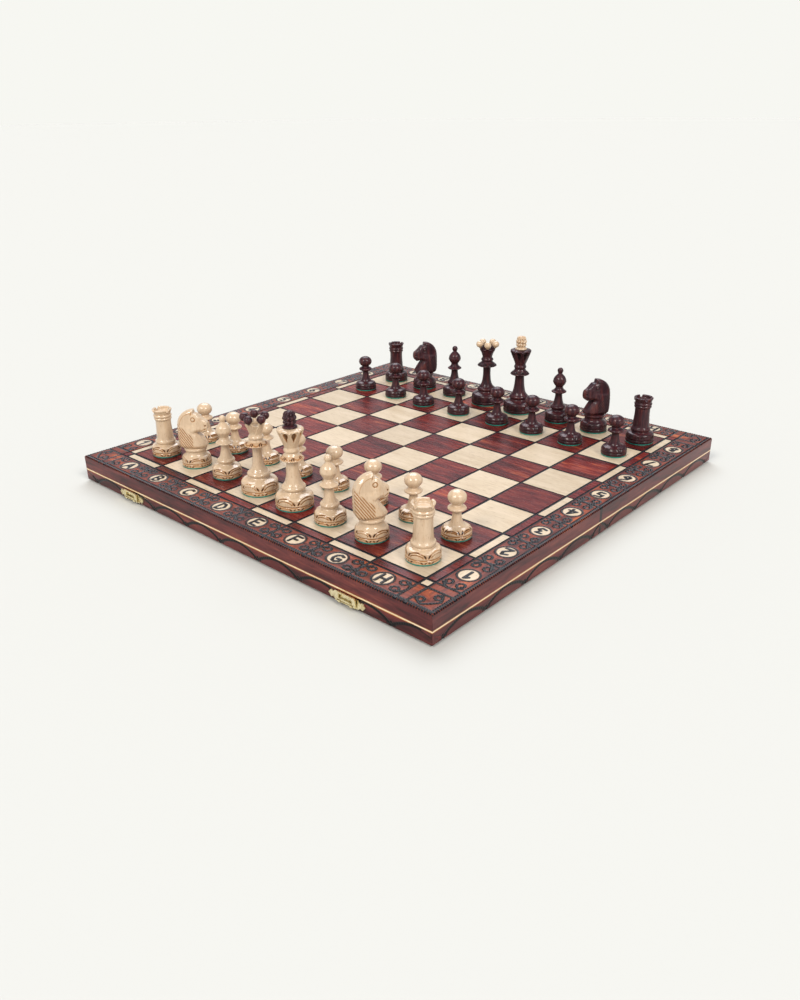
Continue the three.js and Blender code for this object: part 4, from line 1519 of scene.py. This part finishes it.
def add_pieces():
    trims = {"beads": beads(), "finial": finial()}
    horse_shape = horse()
    felts = {kind: felt_mesh(radius, f"{kind}_felt") for kind, radius in FELT_RADIUS.items()}
    for colour, carving, own, other in (
        ("white", 1.0, WHITE_PIECE, BLACK_PIECE),
        ("black", 0.45, BLACK_PIECE, WHITE_PIECE),
    ):
        meshes = {}
        for solids, wood in ((piece_solids(carving, horse_shape), own), (trims, other)):
            for kind, solid in solids.items():
                meshes[kind] = solid.to_mesh(f"{colour}_{kind}_shape", [wood], smooth_shading=True)
        back, front = (1, 2) if colour == "white" else (8, 7)
        set_out(colour, back, BACK_ROW, meshes, felts)
        set_out(colour, front, ["pawn"] * 8, meshes, felts)


# ---------------------------------------------------------------- metal fittings


def add_fittings():
    """Brass for the parts whose CAD shape is shown as it is."""
    for name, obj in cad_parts.items():
        if any(word in name for word in ("hinge", "clasp", "catch")):
            obj.data.materials.clear()
            obj.data.materials.append(BRASS)


# ---------------------------------------------------------------- floor, light and camera

CAMERA_TARGET = (1.777 * SQUARE, -2.113 * SQUARE, BOARD_TOP)
CAMERA_AZIMUTH = 41.993
CAMERA_ELEVATION = 24.529
CAMERA_DISTANCE = 15.627 * SQUARE
CAMERA_ROLL = 0.552
CAMERA_LENS = 30.65


def direction(azimuth, elevation):
    """Towards a place round the object; azimuth 0 is in front, and 90 on the right."""
    a, e = math.radians(azimuth), math.radians(elevation)
    return Vector((math.sin(a) * math.cos(e), -math.cos(a) * math.cos(e), math.sin(e)))


def add_camera():
    data = bpy.data.cameras.new("studio_camera")
    data.lens = CAMERA_LENS
    data.clip_start, data.clip_end = 0.05, 200
    camera = bpy.data.objects.new("studio_camera", data)
    back = direction(CAMERA_AZIMUTH, CAMERA_ELEVATION)
    camera.location = (Vector(CAMERA_TARGET) + back * CAMERA_DISTANCE) * MM
    camera.rotation_mode = "QUATERNION"
    roll = Quaternion((0, 0, 1), math.radians(-CAMERA_ROLL))
    camera.rotation_quaternion = (-back).to_track_quat("-Z", "Y") @ roll
    bpy.context.scene.collection.objects.link(camera)
    bpy.context.scene.camera = camera


def add_light(name, azimuth, elevation, strength, spread, colour):
    light = bpy.data.lights.new(name, "SUN")
    light.energy = strength
    light.angle = math.radians(spread)
    light.color = colour
    obj = bpy.data.objects.new(name, light)
    towards = direction(azimuth, elevation)
    obj.rotation_mode = "QUATERNION"
    obj.rotation_quaternion = towards.to_track_quat("Z", "Y")
    obj.location = towards * 2
    bpy.context.scene.collection.objects.link(obj)


FLOOR_COLOUR = (0.582, 0.578, 0.544, 1)  # in this light it looks the same as the surround
FLOOR_GAP = 0.0006  # metres, from the object's lowest point
FLOOR_REACH = 40  # metres
# Colours of the surround by the height of the direction, from level to straight up.
SURROUND = [
    (0.0, (0.93, 0.93, 0.885)),
    (0.14, (0.93, 0.93, 0.885)),
    (0.34, (0.31, 0.32, 0.37)),
    (0.60, (0.23, 0.24, 0.29)),
    (1.0, (0.50, 0.50, 0.50)),
]


def add_floor():
    """A pale sheet under the object."""
    height = cad_box[0][2] - FLOOR_GAP
    corners = [(-1, -1), (1, -1), (1, 1), (-1, 1)]
    mesh = bpy.data.meshes.new("studio_floor")
    points = [(x * FLOOR_REACH, y * FLOOR_REACH, height) for x, y in corners]
    mesh.from_pydata(points, [], [(0, 1, 2, 3)])
    paper = Graph("pale_paper").finish(Base_Color=FLOOR_COLOUR, Roughness=1.0, IOR=1.0)
    mesh.materials.append(paper)
    add_object("studio_floor", mesh)


def add_surround():
    """Pale at the height of the camera and darker above, as the lacquer reflects it."""
    world = bpy.data.worlds.new("studio_surround")
    world.use_nodes = True
    tree = world.node_tree
    way = tree.nodes.new("ShaderNodeTexCoord")
    split = tree.nodes.new("ShaderNodeSeparateXYZ")
    ramp = tree.nodes.new("ShaderNodeValToRGB")
    fill_ramp(ramp, SURROUND)
    tree.links.new(way.outputs["Generated"], split.inputs["Vector"])
    tree.links.new(split.outputs["Z"], ramp.inputs["Fac"])
    tree.links.new(ramp.outputs["Color"], tree.nodes["Background"].inputs["Color"])
    bpy.context.scene.world = world


def add_studio():
    add_floor()
    add_light("left_soft_box", CAMERA_AZIMUTH - 42, 42, 1.7, 22, (1.0, 0.97, 0.91))
    add_light("right_soft_box", CAMERA_AZIMUTH + 40, 42, 1.7, 22, (1.0, 0.97, 0.93))
    add_light("back_soft_box", CAMERA_AZIMUTH + 183, 52, 2.2, 44, (0.90, 0.94, 1.0))
    add_surround()
    bpy.context.scene.view_settings.view_transform = "Standard"


add_board()
add_pieces()
add_fittings()
add_studio()
add_camera()
